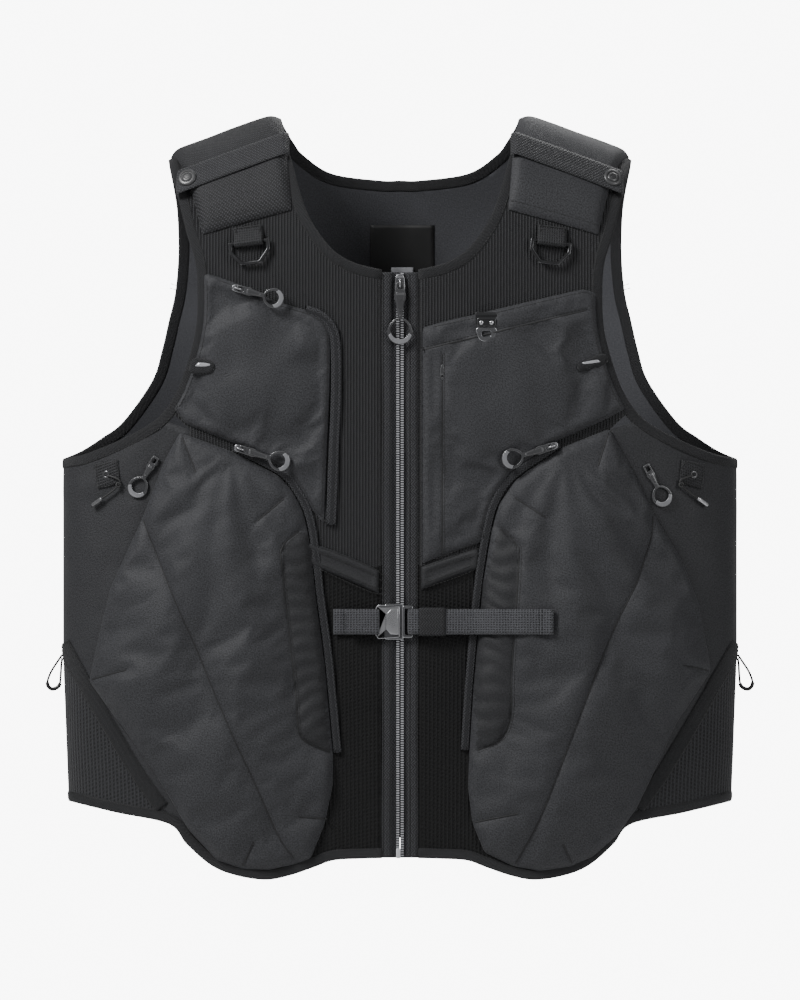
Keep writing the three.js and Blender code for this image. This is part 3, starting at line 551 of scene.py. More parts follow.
# a strip that follows a path: stations of (side, edge, inside), with a rounded top
def strip(name, stations, under, over, crown, material, across=6, ring=False, **facts):
    count = len(stations)
    sides = np.array([s[0] for s in stations])
    edge = np.array([s[1] for s in stations], float)
    inner = np.array([s[2] for s in stations], float)

    def row(j, lift):
        u = j / across
        return onForm(sides, edge[:, 0] * (1 - u) + inner[:, 0] * u, edge[:, 1] * (1 - u) + inner[:, 1] * u,
                      np.full(count, lift))[0]

    bows = [abs(2 * j / across - 1) ** 3 for j in range(across + 1)]
    grid = [row(j, over - crown + crown * (1 - bows[j])) for j in range(across + 1)]
    grid += [row(j, under + crown * bows[j] * 0.5) for j in reversed(range(across + 1))]
    grid = np.array(grid)
    around = len(grid)
    travel = np.linalg.norm(np.diff(grid[across // 2], axis=0), axis=1)
    length = np.concatenate([[0], np.cumsum(travel)])
    wide = np.linalg.norm(grid[across] - grid[0], axis=1).mean()
    verts = grid.transpose(1, 0, 2).reshape(-1, 3) * mm
    uvs = []
    for i in range(count):
        for k in range(around):
            j = k if k <= across else 2 * across + 1 - k
            uvs.append((wide * j / across * mm, length[i] * mm))
    return faceOutward(makeObject(name, verts, bandFaces(count, around, ring), material, uvs, **facts))


# edge lines, the wearer's right half
def ridgePoint(x):
    return (-x, float(ridge(x)))


neckFront = [ridgePoint(neckHalf), (-106, -8), (-97.5, -39), (-89, -70), (-79, -94), (-61, -118), (-42, -130),
             (-20, -136)]
neckBack = [ridgePoint(neckHalf), (-104, -8), (-96, -21), (-87, -32), (-61.5, -48), (-18, -54), (0, -54)]
armFront = [ridgePoint(shoulderTip), (-207, -46), (-200, -72), (-192, -104), (-184, -130), (-182, -156),
            (-183.6, -190), (-192.6, -225), (-204, -252), (-221, -272.5), (-250.6, -289), (-282, -302),
            (-303, -306.5)]
armBack = [ridgePoint(shoulderTip), (-208, -46), (-204, -67), (-201.6, -87), (-201, -121.5), (-204, -156),
           (-210, -182), (-216, -208), (-225, -236), (-250.6, -272.5), (-269, -287), (-287, -299),
           (-303, -306.5)]
hemFront = [(-298, -616), (-255, -626), (-208, -636), (-192, -654), (-170, -673), (-148, -682), (-121, -686),
            (-99, -682), (-77, -674.5), (-60, -668.5), (-36, -667), (-17.5, -666.5)]
hemBack = [(-298, -616), (-240, -628), (-160, -641), (-80, -649), (0, -651)]
sideBand = [(-303, -474), (-270, -533), (-236, -590), (-214, -621)]


def densePath(points, step=3.0):
    path = spline(points, 0.6)
    s, v = toFlat(path[:, 0], path[:, 1])
    travel = np.concatenate([[0], np.cumsum(np.hypot(np.diff(s), np.diff(v)))])
    count = max(2, int(travel[-1] / step))
    at = np.linspace(0, travel[-1], count + 1)
    return np.stack([np.interp(at, travel, path[:, 0]), np.interp(at, travel, path[:, 1])], 1)


outlines = (neckFront, neckBack, armFront, armBack, hemFront, hemBack, sideBand)
(neckFrontPath, neckBackPath, armFrontPath, armBackPath, hemFrontPath, hemBackPath,
 sideBandPath) = [densePath(line) for line in outlines]


def tapeStations(path, width, side):
    inner = shifted(path, width)
    return [(side, tuple(a), tuple(b)) for a, b in zip(path, inner)]


def flippedStations(stations):
    return [(s, (-a[0], a[1]), (-b[0], b[1])) for s, a, b in stations]


def neckStations(width):
    front = tapeStations(neckFrontPath, -width, -1)[1:]
    back = tapeStations(neckBackPath, -width, 1)[1:]
    back[-1] = (1, (0, -54), (0, -54 - width))
    front[-1] = (-1, (tapeEnd, -136.6), (tapeEnd, -136.6 - width))
    half = front[::-1] + [(-1, (-neckHalf, 0), (-neckHalf - width, 0))] + back
    return half + flippedStations(half)[::-1][1:]


def armStations(width):
    front = tapeStations(armFrontPath, width, -1)[1:-1]
    back = tapeStations(armBackPath, width, 1)[1:-1]
    return ([(-1, (-shoulderTip, 0), (-shoulderTip + width, 0))] + front
            + [(-1, (-halfWidth, -306.5), (-halfWidth, -306.5 - width))] + back[::-1])


def hemStations(width):
    front = tapeStations(hemFrontPath, width, -1)
    back = tapeStations(hemBackPath, width, 1)
    front[0] = (-1, (-hemHalfWidth, hemSide), (-298.4, hemSide + width))
    front[-1] = (-1, (tapeEnd, -666.5), (tapeEnd, -666.5 + width))
    back[-1] = (1, (0, -651), (0, -651 + width))
    half = front[::-1] + back[1:]
    return half + flippedStations(half)[::-1][1:]


print("camera and light")
cameraData = bpy.data.cameras.new("camera")
cameraData.lens = 600
cameraData.sensor_width = 36
camera = linked("camera", cameraData)
camera.location = (0, -15.08, -0.344)
camera.rotation_euler = (math.radians(90), 0, 0)
scene.camera = camera

world = bpy.data.worlds.new("world")
scene.world = world
world.use_nodes = True
sky = world.node_tree
skyStrength = 0.22
whiteBehind = 8.5
seen = newNode(sky, "ShaderNodeLightPath").outputs["Is Camera Ray"]
sky.nodes["Background"].inputs[0].default_value = (1, 1, 1, 1)
sky.links.new(maths(sky, "MULTIPLY_ADD", seen, whiteBehind, skyStrength), sky.nodes["Background"].inputs[1])


def areaLight(name, place, aim, size, power):
    data = bpy.data.lights.new(name, "AREA")
    data.shape = "RECTANGLE"
    data.size = size[0]
    data.size_y = size[1]
    data.energy = power
    light = linked(name, data)
    light.location = place
    light.rotation_euler = (Vector(aim) - Vector(place)).to_track_quat("-Z", "Y").to_euler()


areaLight("key", (-1.5, -1.2, 1.3), (0, 0, -0.35), (0.7, 0.9), 88)
areaLight("fill", (1.6, -1.5, 0.4), (0, 0, -0.35), (0.7, 1.2), 20)
areaLight("rim", (0.6, 1.2, 1.4), (0, 0, -0.3), (1.2, 0.8), 25)

floorZ = -1.25
floorPaint, _, floorShader = baseMaterial("floorPaint")
setShader(floorShader, {"Base Color": (0.93, 0.93, 0.93, 1), "Roughness": 0.9})
floorCorners = [(-4, -6, floorZ), (4, -6, floorZ), (4, 4, floorZ), (-4, 4, floorZ)]
floor = makeObject("floor", floorCorners, [(0, 1, 2, 3)], floorPaint, ride=False)

print("cords")


def cordPiece(name, points, diameter, node):
    dense = spline(np.array(points), 2.0)
    curve = polyCurve(name, [dense * mm], bevel_depth=diameter / 2, bevel_resolution=3, use_fill_caps=True,
                      resolution_u=6)
    curve.materials.append(cordCloth)
    obj = linked(name, curve)
    settle(obj, "body", node, "cord")


def overForm(x, z, offset):
    return tuple(onForm(-1, x, z, offset)[0])


def tube(name, path, radius, material, sides=12, radii=None, **facts):
    path = np.array(path, float)
    count = len(path)
    tangent = np.gradient(path, axis=0)
    tangent /= np.linalg.norm(tangent, axis=1, keepdims=True)
    side = np.cross(tangent[0], [0.3, 0.5, 0.8])
    side /= np.linalg.norm(side)
    verts = []
    for i in range(count):
        side = side - tangent[i] * (side @ tangent[i])
        side /= np.linalg.norm(side)
        other = np.cross(tangent[i], side)
        r = radius if radii is None else radii[i]
        for k in range(sides):
            a = 2 * math.pi * k / sides
            verts.append(path[i] + (side * math.cos(a) + other * math.sin(a)) * r)
    return faceOutward(makeObject(name, np.array(verts) * mm, bandFaces(count, sides, False), material,
                                  **facts))


class Seat:
    # local X across, Y up the cloth, Z outward, on the front
    def __init__(self, x, z, offset, turn=0.0, flip=False):
        p, n = onForm(-1, x, z, offset)
        a = np.cross([0, 0, 1], n)
        a /= np.linalg.norm(a)
        u = np.cross(n, a)
        c, s = math.cos(turn), math.sin(turn)
        self.p, self.a, self.u, self.n, self.flip = p, a * c + u * s, -a * s + u * c, n, flip

    def __call__(self, local):
        q = np.array(local, float)
        w = self.p + q[:, 0:1] * self.a + q[:, 1:2] * self.u + q[:, 2:3] * self.n
        return w * np.array([-1, 1, 1]) if self.flip else w


def plate(name, outline, low, high, seat, material, holes=(), bevel=0.4, segments=2, sharp=40, **facts):
    half = (high - low) / 2
    bevel = min(bevel, half * 0.95)
    curve = polyCurve(name + "Shape", [outline, *holes], True, "2D", fill_mode="BOTH", extrude=half - bevel,
                      bevel_depth=bevel, bevel_resolution=segments, offset=-bevel)
    mesh = curveMesh(name, curve, material)
    bpy.data.curves.remove(curve)
    bm = bmesh.new()
    bm.from_mesh(mesh)
    bmesh.ops.remove_doubles(bm, verts=bm.verts, dist=0.01)
    points = np.array([tuple(v.co) for v in bm.verts])
    points[:, 2] += (low + high) / 2
    points = seat(points) * mm
    for v, p in zip(bm.verts, points):
        v.co = p
    bmesh.ops.recalc_face_normals(bm, faces=bm.faces)
    bm.to_mesh(mesh)
    bm.free()
    mesh.polygons.foreach_set("use_smooth", [True] * len(mesh.polygons))
    mesh.set_sharp_from_angle(angle=math.radians(sharp))
    obj = linked(name, mesh)
    made[name] = obj
    settle(obj, **facts)
    return faceOutward(obj)


def roundRect(x0, x1, y0, y1, r, steps=6):
    out = []
    corners = ((x1 - r, y1 - r, 0), (x0 + r, y1 - r, 90), (x0 + r, y0 + r, 180), (x1 - r, y0 + r, 270))
    for cx, cy, start in corners:
        for k in range(steps + 1):
            a = math.radians(start + 90 * k / steps)
            out.append((cx + r * math.cos(a), cy + r * math.sin(a)))
    return out


def ellipse(cx, cy, rx, ry, count=40):
    return [(cx + rx * math.cos(2 * math.pi * k / count), cy + ry * math.sin(2 * math.pi * k / count))
            for k in range(count)]


def lathe(name, profile, seat, material, turns=40, centre=(0, 0), **facts):
    verts = []
    faces = []
    n = len(profile)
    for k in range(turns):
        a = 2 * math.pi * k / turns
        for r, h in profile:
            verts.append((centre[0] + r * math.cos(a), centre[1] + r * math.sin(a), h))
    for k in range(turns):
        m = (k + 1) % turns
        for i in range(n - 1):
            faces.append((k * n + i, m * n + i, m * n + i + 1, k * n + i + 1))
    faces.append(tuple(k * n for k in range(turns)))
    faces.append(tuple(k * n + n - 1 for k in range(turns)))
    obj = faceOutward(makeObject(name, seat(verts) * mm, faces, material, **facts))
    obj.data.set_sharp_from_angle(angle=math.radians(40))
    return obj


# webbing: a band along a centre line, with rounded edges
def ribbon(name, centre, across, width, thickness, material, ring=False, cells=8, **facts):
    centre = np.array(centre, float)
    count = len(centre)
    across = np.broadcast_to(np.array(across, float), centre.shape)
    if ring:
        tangent = np.roll(centre, -1, axis=0) - np.roll(centre, 1, axis=0)
    else:
        tangent = np.gradient(centre, axis=0)
    tangent = tangent / np.linalg.norm(tangent, axis=1, keepdims=True)
    up = np.cross(tangent, across)
    up /= np.linalg.norm(up, axis=1, keepdims=True)
    travel = np.concatenate([[0], np.cumsum(np.linalg.norm(np.diff(centre, axis=0), axis=1))])
    verts = []
    uvs = []
    for i in range(count):
        for k in range(2 * (cells + 1)):
            j = k if k <= cells else 2 * cells + 1 - k
            u = -1 + 2 * j / cells
            lift = thickness / 2 * (1 - 0.75 * abs(u) ** 6) * (1 if k <= cells else -1)
            verts.append(centre[i] + across[i] * u * width / 2 + up[i] * lift)
            uvs.append((u * width / 2 * mm, travel[i] * mm))
    faces = bandFaces(count, 2 * (cells + 1), ring)
    return faceOutward(makeObject(name, np.array(verts) * mm, faces, material, uvs, **facts))


# cords: side adjusters at the waist and the short ends at the cord tabs
sideSeam = halfWidth + 1.8
sideCordPath = [(0.8, -2.6, -484), (4.2, -2.4, -489), (11.2, -1.6, -500), (14.2, 0, -510), (10.2, 1.4, -515),
                (3.7, 2, -512), (2.2, 2.4, -502), (1.6, 2.6, -492), (0.8, 2.8, -487)]
tabCordPath = [(-262, -322, 4.9), (-256, -323.5, 5.6), (-250.5, -327, 5.6), (-254, -333, 5.6),
               (-260, -338, 5.6), (-267, -343, 5.6), (-275, -349, 5.6)]
clipCordPath = [(74, -201.6), (73.5, -208), (76, -217), (82, -221), (88, -217), (89, -209), (83, -201.8)]
for sideName, sign in bothSides:
    path = [(sign * (sideSeam + x), y, z) for x, y, z in sideCordPath]
    bend = spline(path, 1.2)
    low = bend[:, 2].argmin()
    sleeve = tube("cord_sleeve_" + sideName, bend[low - 7:low + 7], 1.75, cordCloth, slot="cord")
    cordPiece("side_cord_run_" + sideName, path, 0.002, "side_cord_" + sideName)
    path = [overForm(sign * abs(x), z, o) for x, z, o in tabCordPath]
    line = spline(path, 1.0)
    tail = line[-13:]
    r = [1.2 + 0.7 * math.sin(math.pi * min(1, (k + 1) / 4) / 2) for k in range(len(tail))]
    r[-1] = 1.1
    tip = tube("cord_end_" + sideName, tail, 1.6, sliderMetal if sign > 0 else pullPlastic, 14, r, slot="cord")
    twist = [line[len(line) // 3] + np.array([2.0 * math.cos(a), -0.6 + 0.5 * math.sin(a), 2.0 * math.sin(a)])
             for a in np.linspace(0, 5.4, 22)]
    knot = tube("cord_knot_" + sideName, twist, 0.9, cordCloth, 8, slot="cord")
    cordPiece("tab_cord_run_" + sideName, path, 0.0018, "tab_cord_" + sideName)
cordPiece("clip_cord_run", [overForm(x, z, 7.6) for x, z in clipCordPath], 0.0018, "clip_cord")

print("body panels")
tuck = 4.0
zipEdge = 15.6
clothLift = 1.8


def ridgeRun(xa, xb, count=14):
    x = np.linspace(xa, xb, count)
    return [(float(a), float(ridge(a))) for a in x]


def pairs(points):
    return [tuple(p) for p in points]


def sided(points, sign):
    return pairs(points) if sign < 0 else [(-p[0], p[1]) for p in points]


def clothSurface(amount, seed):
    # folds that die out towards the seams
    def over(panel):
        folds = softNoise(panel.flat[:, 0], panel.flat[:, 1], 46, seed) * amount
        fine = softNoise(panel.flat[:, 0], panel.flat[:, 1], 17, seed + 9) * amount * 0.35
        calm = np.clip(panel.depth / 22, 0, 1)
        return clothLift + np.maximum(-0.6, (folds + fine) * calm)
    return over


neckIn = shifted(neckFrontPath, -tuck)
armIn = shifted(armFrontPath, tuck)
hemIn = shifted(hemFrontPath, tuck)
frontOutline = (pairs(neckIn[2:]) + [(-zipEdge, -142), (-zipEdge, -663)]
                + [tuple(p) for p in hemIn if -189 < p[0] < -19][::-1] + [(-189, -655), (-189, -280)]
                + [tuple(p) for p in armIn if p[1] > -264][::-1][:-2] + ridgeRun(-205, -111))
sideOutline = ([(-188, -281)] + [tuple(p) for p in armIn if p[1] < -270] + [(-303, -330), (-303, -400)]
               + pairs(sideBandPath) + [(-206, -630), (-188, -655)])
meshOutline = (pairs(sideBandPath) + [(-213, -628)]
               + [tuple(p) for p in hemIn if p[0] < -218][::-1] + [(-298.6, -611), (-301, -540)])
for sideName, sign in bothSides:
    front = Panel("front_cloth_" + sideName, -1, sided(frontOutline, sign), 6.0, 0.0,
                  clothSurface(0.7, 3 + sign), ribMesh, replaces="front_mesh_" + sideName, slot="mesh_cloth")
    front.obj.data.materials.append(waffleMesh)
    for face in front.obj.data.polygons:
        face.material_index = 1 if face.center.z < -0.405 + 0.32 * abs(abs(face.center.x) - 0.02) else 0
    # the side panels take the darker copy of softshell, a painted shade
    flank = Panel("side_cloth_" + sideName, -1, sided(sideOutline, sign), 5.0, 0.0,
                  clothSurface(2.4, 7 + sign), shadedSideShell, replaces="side_panel_" + sideName, slot="softshell")
    vent = Panel("side_vent_" + sideName, -1, sided(meshOutline, sign), 5.0, 0.0,
                 clothSurface(1.0, 11 + sign), ventMesh, replaces="side_mesh_" + sideName, slot="mesh_cloth")

backNeckIn = shifted(neckBackPath, -tuck)
backArmIn = shifted(armBackPath, tuck)
backHemIn = shifted(hemBackPath, tuck)
backHalf = ([(0, -58)] + pairs(backNeckIn[1:-1])[::-1][:-2] + ridgeRun(-111, -205) + pairs(backArmIn[2:])
            + [(-303, -340), (-303, -420), (-303, -500), (-300, -560), (-298, -610)]
            + pairs(backHemIn[1:-1]) + [(0, -647)])
backOutline = backHalf + [(-x, z) for x, z in backHalf[1:-1][::-1]]
yokeSeam = [(-207, -150), (-140, -168), (0, -178), (140, -168), (207, -150)]
backSeams = [yokeSeam, [(-196, -172), (-176, -300), (-182, -460), (-205, -640)],
             [(196, -172), (176, -300), (182, -460), (205, -640)]]


def backSurface(panel):
    base = clothSurface(1.5, 21)(panel)
    span = np.clip((-178 - panel.z) / 30, 0, 1) * np.clip((panel.z + 640) / 40, 0, 1)
    return base + 1.8 * np.exp(-(panel.x / 6) ** 2) * span - groove(panel, backSeams, 0.9, 2.2)


back = Panel("back_cloth", 1, backOutline, 6.2, 0.0, backSurface, softshell, guides=backSeams,
             replaces="back_panel", slot="softshell")
back.obj.data.materials.append(ribMesh)
back.obj.data.materials.append(liningWithPaintedLight)
for face in back.obj.data.polygons:
    face.material_index = 1 if face.center.z > -0.148 else 0
    # the inner faces take the lighter lining, partly painted light
    if min(face.vertices) >= back.count:
        face.material_index = 2

print("edge tapes")
neckTape = strip("neck_tape", neckStations(bindingWidth), *bindingLift, tape, replaces="neck_binding",
                 slot="trim_tape")
hemTape = strip("hem_tape", hemStations(bindingWidth), *bindingLift, tape, replaces="hem_binding",
                slot="trim_tape")
for sideName, sign in bothSides:
    stations = armStations(bindingWidth)
    bandLine = tapeStations(shifted(sideBandPath, -6.5), 13, -1)
    if sign > 0:
        stations = flippedStations(stations)
        bandLine = flippedStations(bandLine)
    strip("armhole_tape_" + sideName, stations, *bindingLift, tape, ring=True,
          replaces="armhole_binding_" + sideName, slot="trim_tape")
    strip("side_tape_" + sideName, bandLine, 1.0, 3.0, 0.7, tape, replaces="side_binding_" + sideName,
          slot="trim_tape")

print("pockets")
pouchRight = [(-198, -283), (-212, -309), (-232, -361), (-260, -423), (-279, -507), (-248, -550), (-219, -591),
              (-190, -640), (-165, -667), (-141, -675), (-117, -676), (-94, -671), (-80, -666), (-67.5, -635),
              (-60, -599), (-60, -571.5), (-68, -487), (-75, -434), (-78, -407), (-82, -375), (-87, -354),
              (-96, -337), (-109, -322), (-151, -300)]
pouchLeft = [(188, -279.5), (209, -316.5), (229, -358), (252.5, -397), (268, -436.5), (279, -498), (248, -545),
             (227, -591), (213, -620), (196, -644), (173, -664), (153, -673), (126, -677), (102, -673),
             (76, -661), (65, -634), (61, -603), (62, -569), (66, -508.5), (74, -421), (82, -371), (89, -347),
             (104, -325), (144.5, -297)]


def spread(outline, distance):
    # a closed outline moved outward
    p = np.array(outline, float)
    a = np.roll(p, 1, axis=0)
    b = np.roll(p, -1, axis=0)
    area = (p[:, 0] * b[:, 1] - b[:, 0] * p[:, 1]).sum()
    d = b - a
    d /= np.linalg.norm(d, axis=1, keepdims=True)
    return p + np.stack([d[:, 1], -d[:, 0]], 1) * distance * (1 if area > 0 else -1)


def radialShare(outline, middle, x, z):
    # 0 at the middle and 1 on the outline
    outline = np.array(outline, float)
    dx, dz = x - middle[0], z - middle[1]
    best = np.zeros(len(x))
    for (ax, az), (bx, bz) in zip(outline, np.roll(outline, -1, axis=0)):
        ex, ez = bx - ax, bz - az
        det = dx * ez - dz * ex
        det = np.where(abs(det) < 1e-9, 1e-9, det)
        k = ((ax - middle[0]) * ez - (az - middle[1]) * ex) / det
        m = ((ax - middle[0]) * dz - (az - middle[1]) * dx) / det
        hit = (k > 0) & (m >= 0) & (m <= 1)
        best = np.where(hit, np.maximum(best, 1 / np.maximum(k, 1e-6)), best)
    return best


puffFacts = {"quality": 6, "mass": 0.15, "tension_stiffness": 12, "compression_stiffness": 8,
             "shear_stiffness": 4, "bending_stiffness": 3.0, "use_pressure": True, "vertex_group_mass": "held",
             "pin_stiffness": 5}


# fabric swells between its seams: the outer skin is simulated and the moves are capped
def puffed(panel, seams, pressure, cap, slack, frames=20, hold=2.0):
    mesh = panel.obj.data
    count = panel.count
    top = np.empty(len(mesh.vertices) * 3)
    mesh.vertices.foreach_get("co", top)
    top = top.reshape(-1, 3)
    faces = [tuple(f.vertices) for f in mesh.polygons if max(f.vertices) < count]
    skin = bpy.data.meshes.new("skin")
    skin.from_pydata([tuple(p) for p in top[:count]], [], faces)
    obj = linked("skin", skin)
    group = obj.vertex_groups.new(name="held")
    pinned = panel.depth < 0.6
    for line in seams:
        pinned |= panel.near(line) < hold
    for i in np.nonzero(pinned)[0]:
        group.add([int(i)], 1.0, "REPLACE")
    m = obj.modifiers.new("cloth", "CLOTH")
    assign(m.settings, puffFacts)
    m.settings.uniform_pressure_force = pressure
    m.settings.shrink_min = -slack
    m.settings.effector_weights.gravity = 0
    m.collision_settings.use_collision = False
    m.collision_settings.use_self_collision = False
    m.point_cache.frame_start = 1
    m.point_cache.frame_end = frames
    for k in range(1, frames + 1):
        scene.frame_set(k)
    graph = bpy.context.evaluated_depsgraph_get()
    result = obj.evaluated_get(graph).data
    moved = np.empty(len(result.vertices) * 3)
    result.vertices.foreach_get("co", moved)
    moved = moved.reshape(-1, 3)
    scene.frame_set(1)
    step = moved - top[:count]
    size = np.linalg.norm(step, axis=1, keepdims=True)
    step *= np.minimum(1, cap * mm / np.maximum(size, 1e-9))
    n = onForm(panel.side, panel.x, panel.z, 0.0)[1]
    inward = (step * n).sum(1)
    room = (panel.offset - 2.4) * mm
    push = np.maximum(0, -inward - np.maximum(room, 0))
    step += n * push[:, None]
    top[:count] += step
    mesh.vertices.foreach_set("co", top.ravel())
    mesh.update()
    bpy.data.objects.remove(obj)
    bpy.data.meshes.remove(skin)
    print("puffed", panel.obj.name, round(float(size.max()) * 1000, 1))


def insetArea(facts, x, z):
    line = facts["inset"]
    inner = [p for p in facts["outline"] if -565 < p[1] < -374 and abs(p[0]) < 85]
    inner = sorted(inner, key=lambda p: p[1])
    return insideOf(np.stack([x, z], 1), list(line) + inner).astype(float)


pouchFacts = {
    "right": {
        "outline": pouchRight, "middle": (-160, -505),
        "diagonal": [(-230, -362.5), (-199, -434), (-157, -535.5), (-129, -599), (-110, -644), (-95, -667)],
        "inset": [(-91, -372), (-105, -386), (-105, -410), (-94, -511), (-92, -540), (-89, -557), (-78, -565),
                  (-63, -571)],
        "darts": [[(-195, -288), (-182, -319)], [(-104, -343), (-127, -362.5)], [(-276, -506), (-241, -497)],
                  [(-131, -652), (-141, -673)], [(-90, -629), (-66, -631)]]},
    "left": {
        "outline": pouchLeft, "middle": (160, -505),
        "diagonal": [(227, -359), (217.6, -399), (178, -487), (144.6, -578), (124, -632), (104, -671)],
        "inset": [(90, -370), (104, -384), (106, -401), (100, -497.5), (99, -537), (91, -558), (70, -569)],
        "darts": [[(187, -283), (177, -313)], [(103, -342), (130, -360)], [(250, -493), (276, -498)],
                  [(146, -654), (154, -671)], [(67, -634), (105, -626)]]}}
for sideName, facts in pouchFacts.items():
    seams = [facts["diagonal"], facts["inset"]]

    def pouchSurface(panel, facts=facts, seams=seams):
        r = np.minimum(radialShare(facts["outline"], facts["middle"], panel.x, panel.z), 1)
        rise = 5.0 * (1 - np.exp(-panel.depth / 3.5))
        bulge = 19 * np.maximum(1 - r * r, 0) ** 0.9
        apex = (-150, -300) if facts["middle"][0] < 0 else (150, -300)
        angle = np.arctan2(panel.x - apex[0], apex[1] - panel.z)
        reach = np.clip(-(panel.z - apex[1]) / 120, 0, 1) * np.clip((panel.z + 670) / 90, 0, 1)
        fold = 3.6 * np.cos(angle * 15 + 1.1 * np.sin(panel.z / 60)) * reach
        creases = softNoise(panel.flat[:, 0], panel.flat[:, 1], 38, 5) * 3.4
        creases += softNoise(panel.flat[:, 0], panel.flat[:, 1], 15, 8) * 0.9
        calm = np.clip(panel.depth / 14, 0, 1)
        cuts = groove(panel, seams, 1.7, 1.1) + groove(panel, seams, 2.2, 7.0)
        cuts += groove(panel, facts["darts"], 1.3, 1.1) + groove(panel, facts["darts"], 1.0, 5.0)
        flat = insetArea(facts, panel.x, panel.z)
        drift = panel.flat[:, 0] / 9.0 + panel.flat[:, 1] / 31
        gathers = 0.7 * np.sin(panel.flat[:, 1] / 2.3 + 2 * np.sin(drift)) * flat
        return 2.9 + np.maximum(0.4, rise + bulge + (fold + creases) * calm * (1 - 0.6 * flat) + gathers - cuts)

    pouch = Panel("pouch_cloth_" + sideName, -1, facts["outline"], 4.6, 2.3, pouchSurface, softshell,
                  guides=paired(seams + facts["darts"]), replaces="pouch_" + sideName, slot="softshell",
                  turned=sideName == "right")
    pouch.obj.data.materials.append(insetCloth)
    for face in pouch.obj.data.polygons:
        spot = np.mean([[pouch.x[k % pouch.count], pouch.z[k % pouch.count]] for k in face.vertices], axis=0)
        face.material_index = int(insetArea(facts, spot[0:1], spot[1:2])[0])
    puffed(pouch, seams + facts["darts"], 4.0, 6.0, 0.012)
    subdivided(pouch.obj)

pouchReach = 6.8


def edgeRun(outline, first, last, distance):
    wide = spread(outline, distance)
    return [tuple(p) for p in wide[first:last + 1]]


armUp = [tuple(p) for p in shifted(armFrontPath, 6) if -262 < p[1] < -140]
chestRight = ([tuple(p) for p in spline([(-174, -140), (-147, -149), (-112.5, -164.5), (-79, -175), (-66, -186),
                                         (-62.5, -201), (-63, -243), (-65.7, -300), (-68, -366)], 6)]
              + edgeRun(pouchRight, 20, 23, pouchReach) + [(-193, -275.5)] + armUp[::-1])
chestLeft = ([(20, -189), (67, -177), (165, -154)] + [(-x, z) for x, z in armUp if z < -157] + [(184, -272)]
             + edgeRun(pouchLeft, 20, 23, pouchReach)[::-1] + [(74, -382), (20, -402)])
chestFacts = {
    "right": {"outline": chestRight, "seams": [], "seed": 31},
    "left": {"outline": chestLeft, "seams": [[(38, -213), (38, -393)], [(20, -209), (167, -173)]], "seed": 37}}
for sideName, facts in chestFacts.items():

    def chestSurface(panel, facts=facts):
        rise = 3.0 * (1 - np.exp(-panel.depth / 2.0))
        swell = 3.2 * np.clip(panel.depth / 50, 0, 1)
        creases = softNoise(panel.flat[:, 0], panel.flat[:, 1] * 0.6, 30, facts["seed"]) * 4.2
        calm = np.clip(panel.depth / 16, 0, 1)
        cuts = groove(panel, facts["seams"], 1.5, 1.1) if facts["seams"] else 0
        return 2.6 + np.maximum(0.4, rise + swell + creases * calm - cuts)

    chest = Panel("chest_cloth_" + sideName, -1, facts["outline"], 4.4, 2.1, chestSurface, softshell,
                  guides=paired(facts["seams"]), replaces="chest_pocket_" + sideName, slot="softshell")
    puffed(chest, facts["seams"], 2.5, 2.5, 0.035)
    subdivided(chest.obj)

waistFacts = {"right": [(-95, -377), (-19, -407.5), (-19, -429.5), (-84, -402)],
              "left": [(19, -404.5), (72, -387), (70, -406), (19, -425.5)]}
for sideName, outline in waistFacts.items():

    def waistSurface(panel):
        welt = np.exp(-((panel.depth - 3.0) / 1.8) ** 4)
        return 2.4 + 1.2 * (1 - np.exp(-panel.depth / 0.8)) + 1.6 * welt

    Panel("waist_cloth_" + sideName, -1, outline, 2.4, 2.1, waistSurface, insetCloth,
          replaces="waist_band_" + sideName, slot="softshell")


print("shoulders")


def gridPiece(name, grid, uv, material, **facts):
    # grid[column][row][lower, upper] of points, closed round its rim
    columns, rows = grid.shape[0], grid.shape[1]
    verts = grid.reshape(-1, 3)
    uvs = np.repeat(uv.reshape(-1, 2), 2, axis=0)

    def at(i, j, k):
        return (i * rows + j) * 2 + k

    faces = []
    for i in range(columns - 1):
        for j in range(rows - 1):
            faces.append((at(i, j, 1), at(i + 1, j, 1), at(i + 1, j + 1, 1), at(i, j + 1, 1)))
            faces.append((at(i, j, 0), at(i, j + 1, 0), at(i + 1, j + 1, 0), at(i + 1, j, 0)))
        faces.append((at(i, 0, 0), at(i + 1, 0, 0), at(i + 1, 0, 1), at(i, 0, 1)))
        faces.append((at(i, rows - 1, 1), at(i + 1, rows - 1, 1), at(i + 1, rows - 1, 0), at(i, rows - 1, 0)))
    for j in range(rows - 1):
        faces.append((at(0, j, 0), at(0, j, 1), at(0, j + 1, 1), at(0, j + 1, 0)))
        last = columns - 1
        faces.append((at(last, j, 1), at(last, j, 0), at(last, j + 1, 0), at(last, j + 1, 1)))
    return faceOutward(makeObject(name, verts * mm, faces, material, uvs * mm, **facts))


stitchLines = {"front": [], "back": [], "shoulder": []}
padWidth = 88
padLength = 236
padFacts = {"columns": 30, "rows": 72, "crown": 3.0, "hem": 7.0, "crease": 0.8}


def padPoint(u, w):
    fromRidge = abs(2 * w - 1)
    x = -(107.6 + 99.2 * u) + fromRidge * (10.6 + 18.2 * u)
    lowest = (86 - 7 * u) if w < 0.5 else (92 - 16 * u)
    phi = np.arccos(1 - lowest / shoulderRound) * fromRidge
    return x, float(ridge(x) - shoulderRound * (1 - math.cos(phi))), (-1 if w < 0.5 else 1), phi


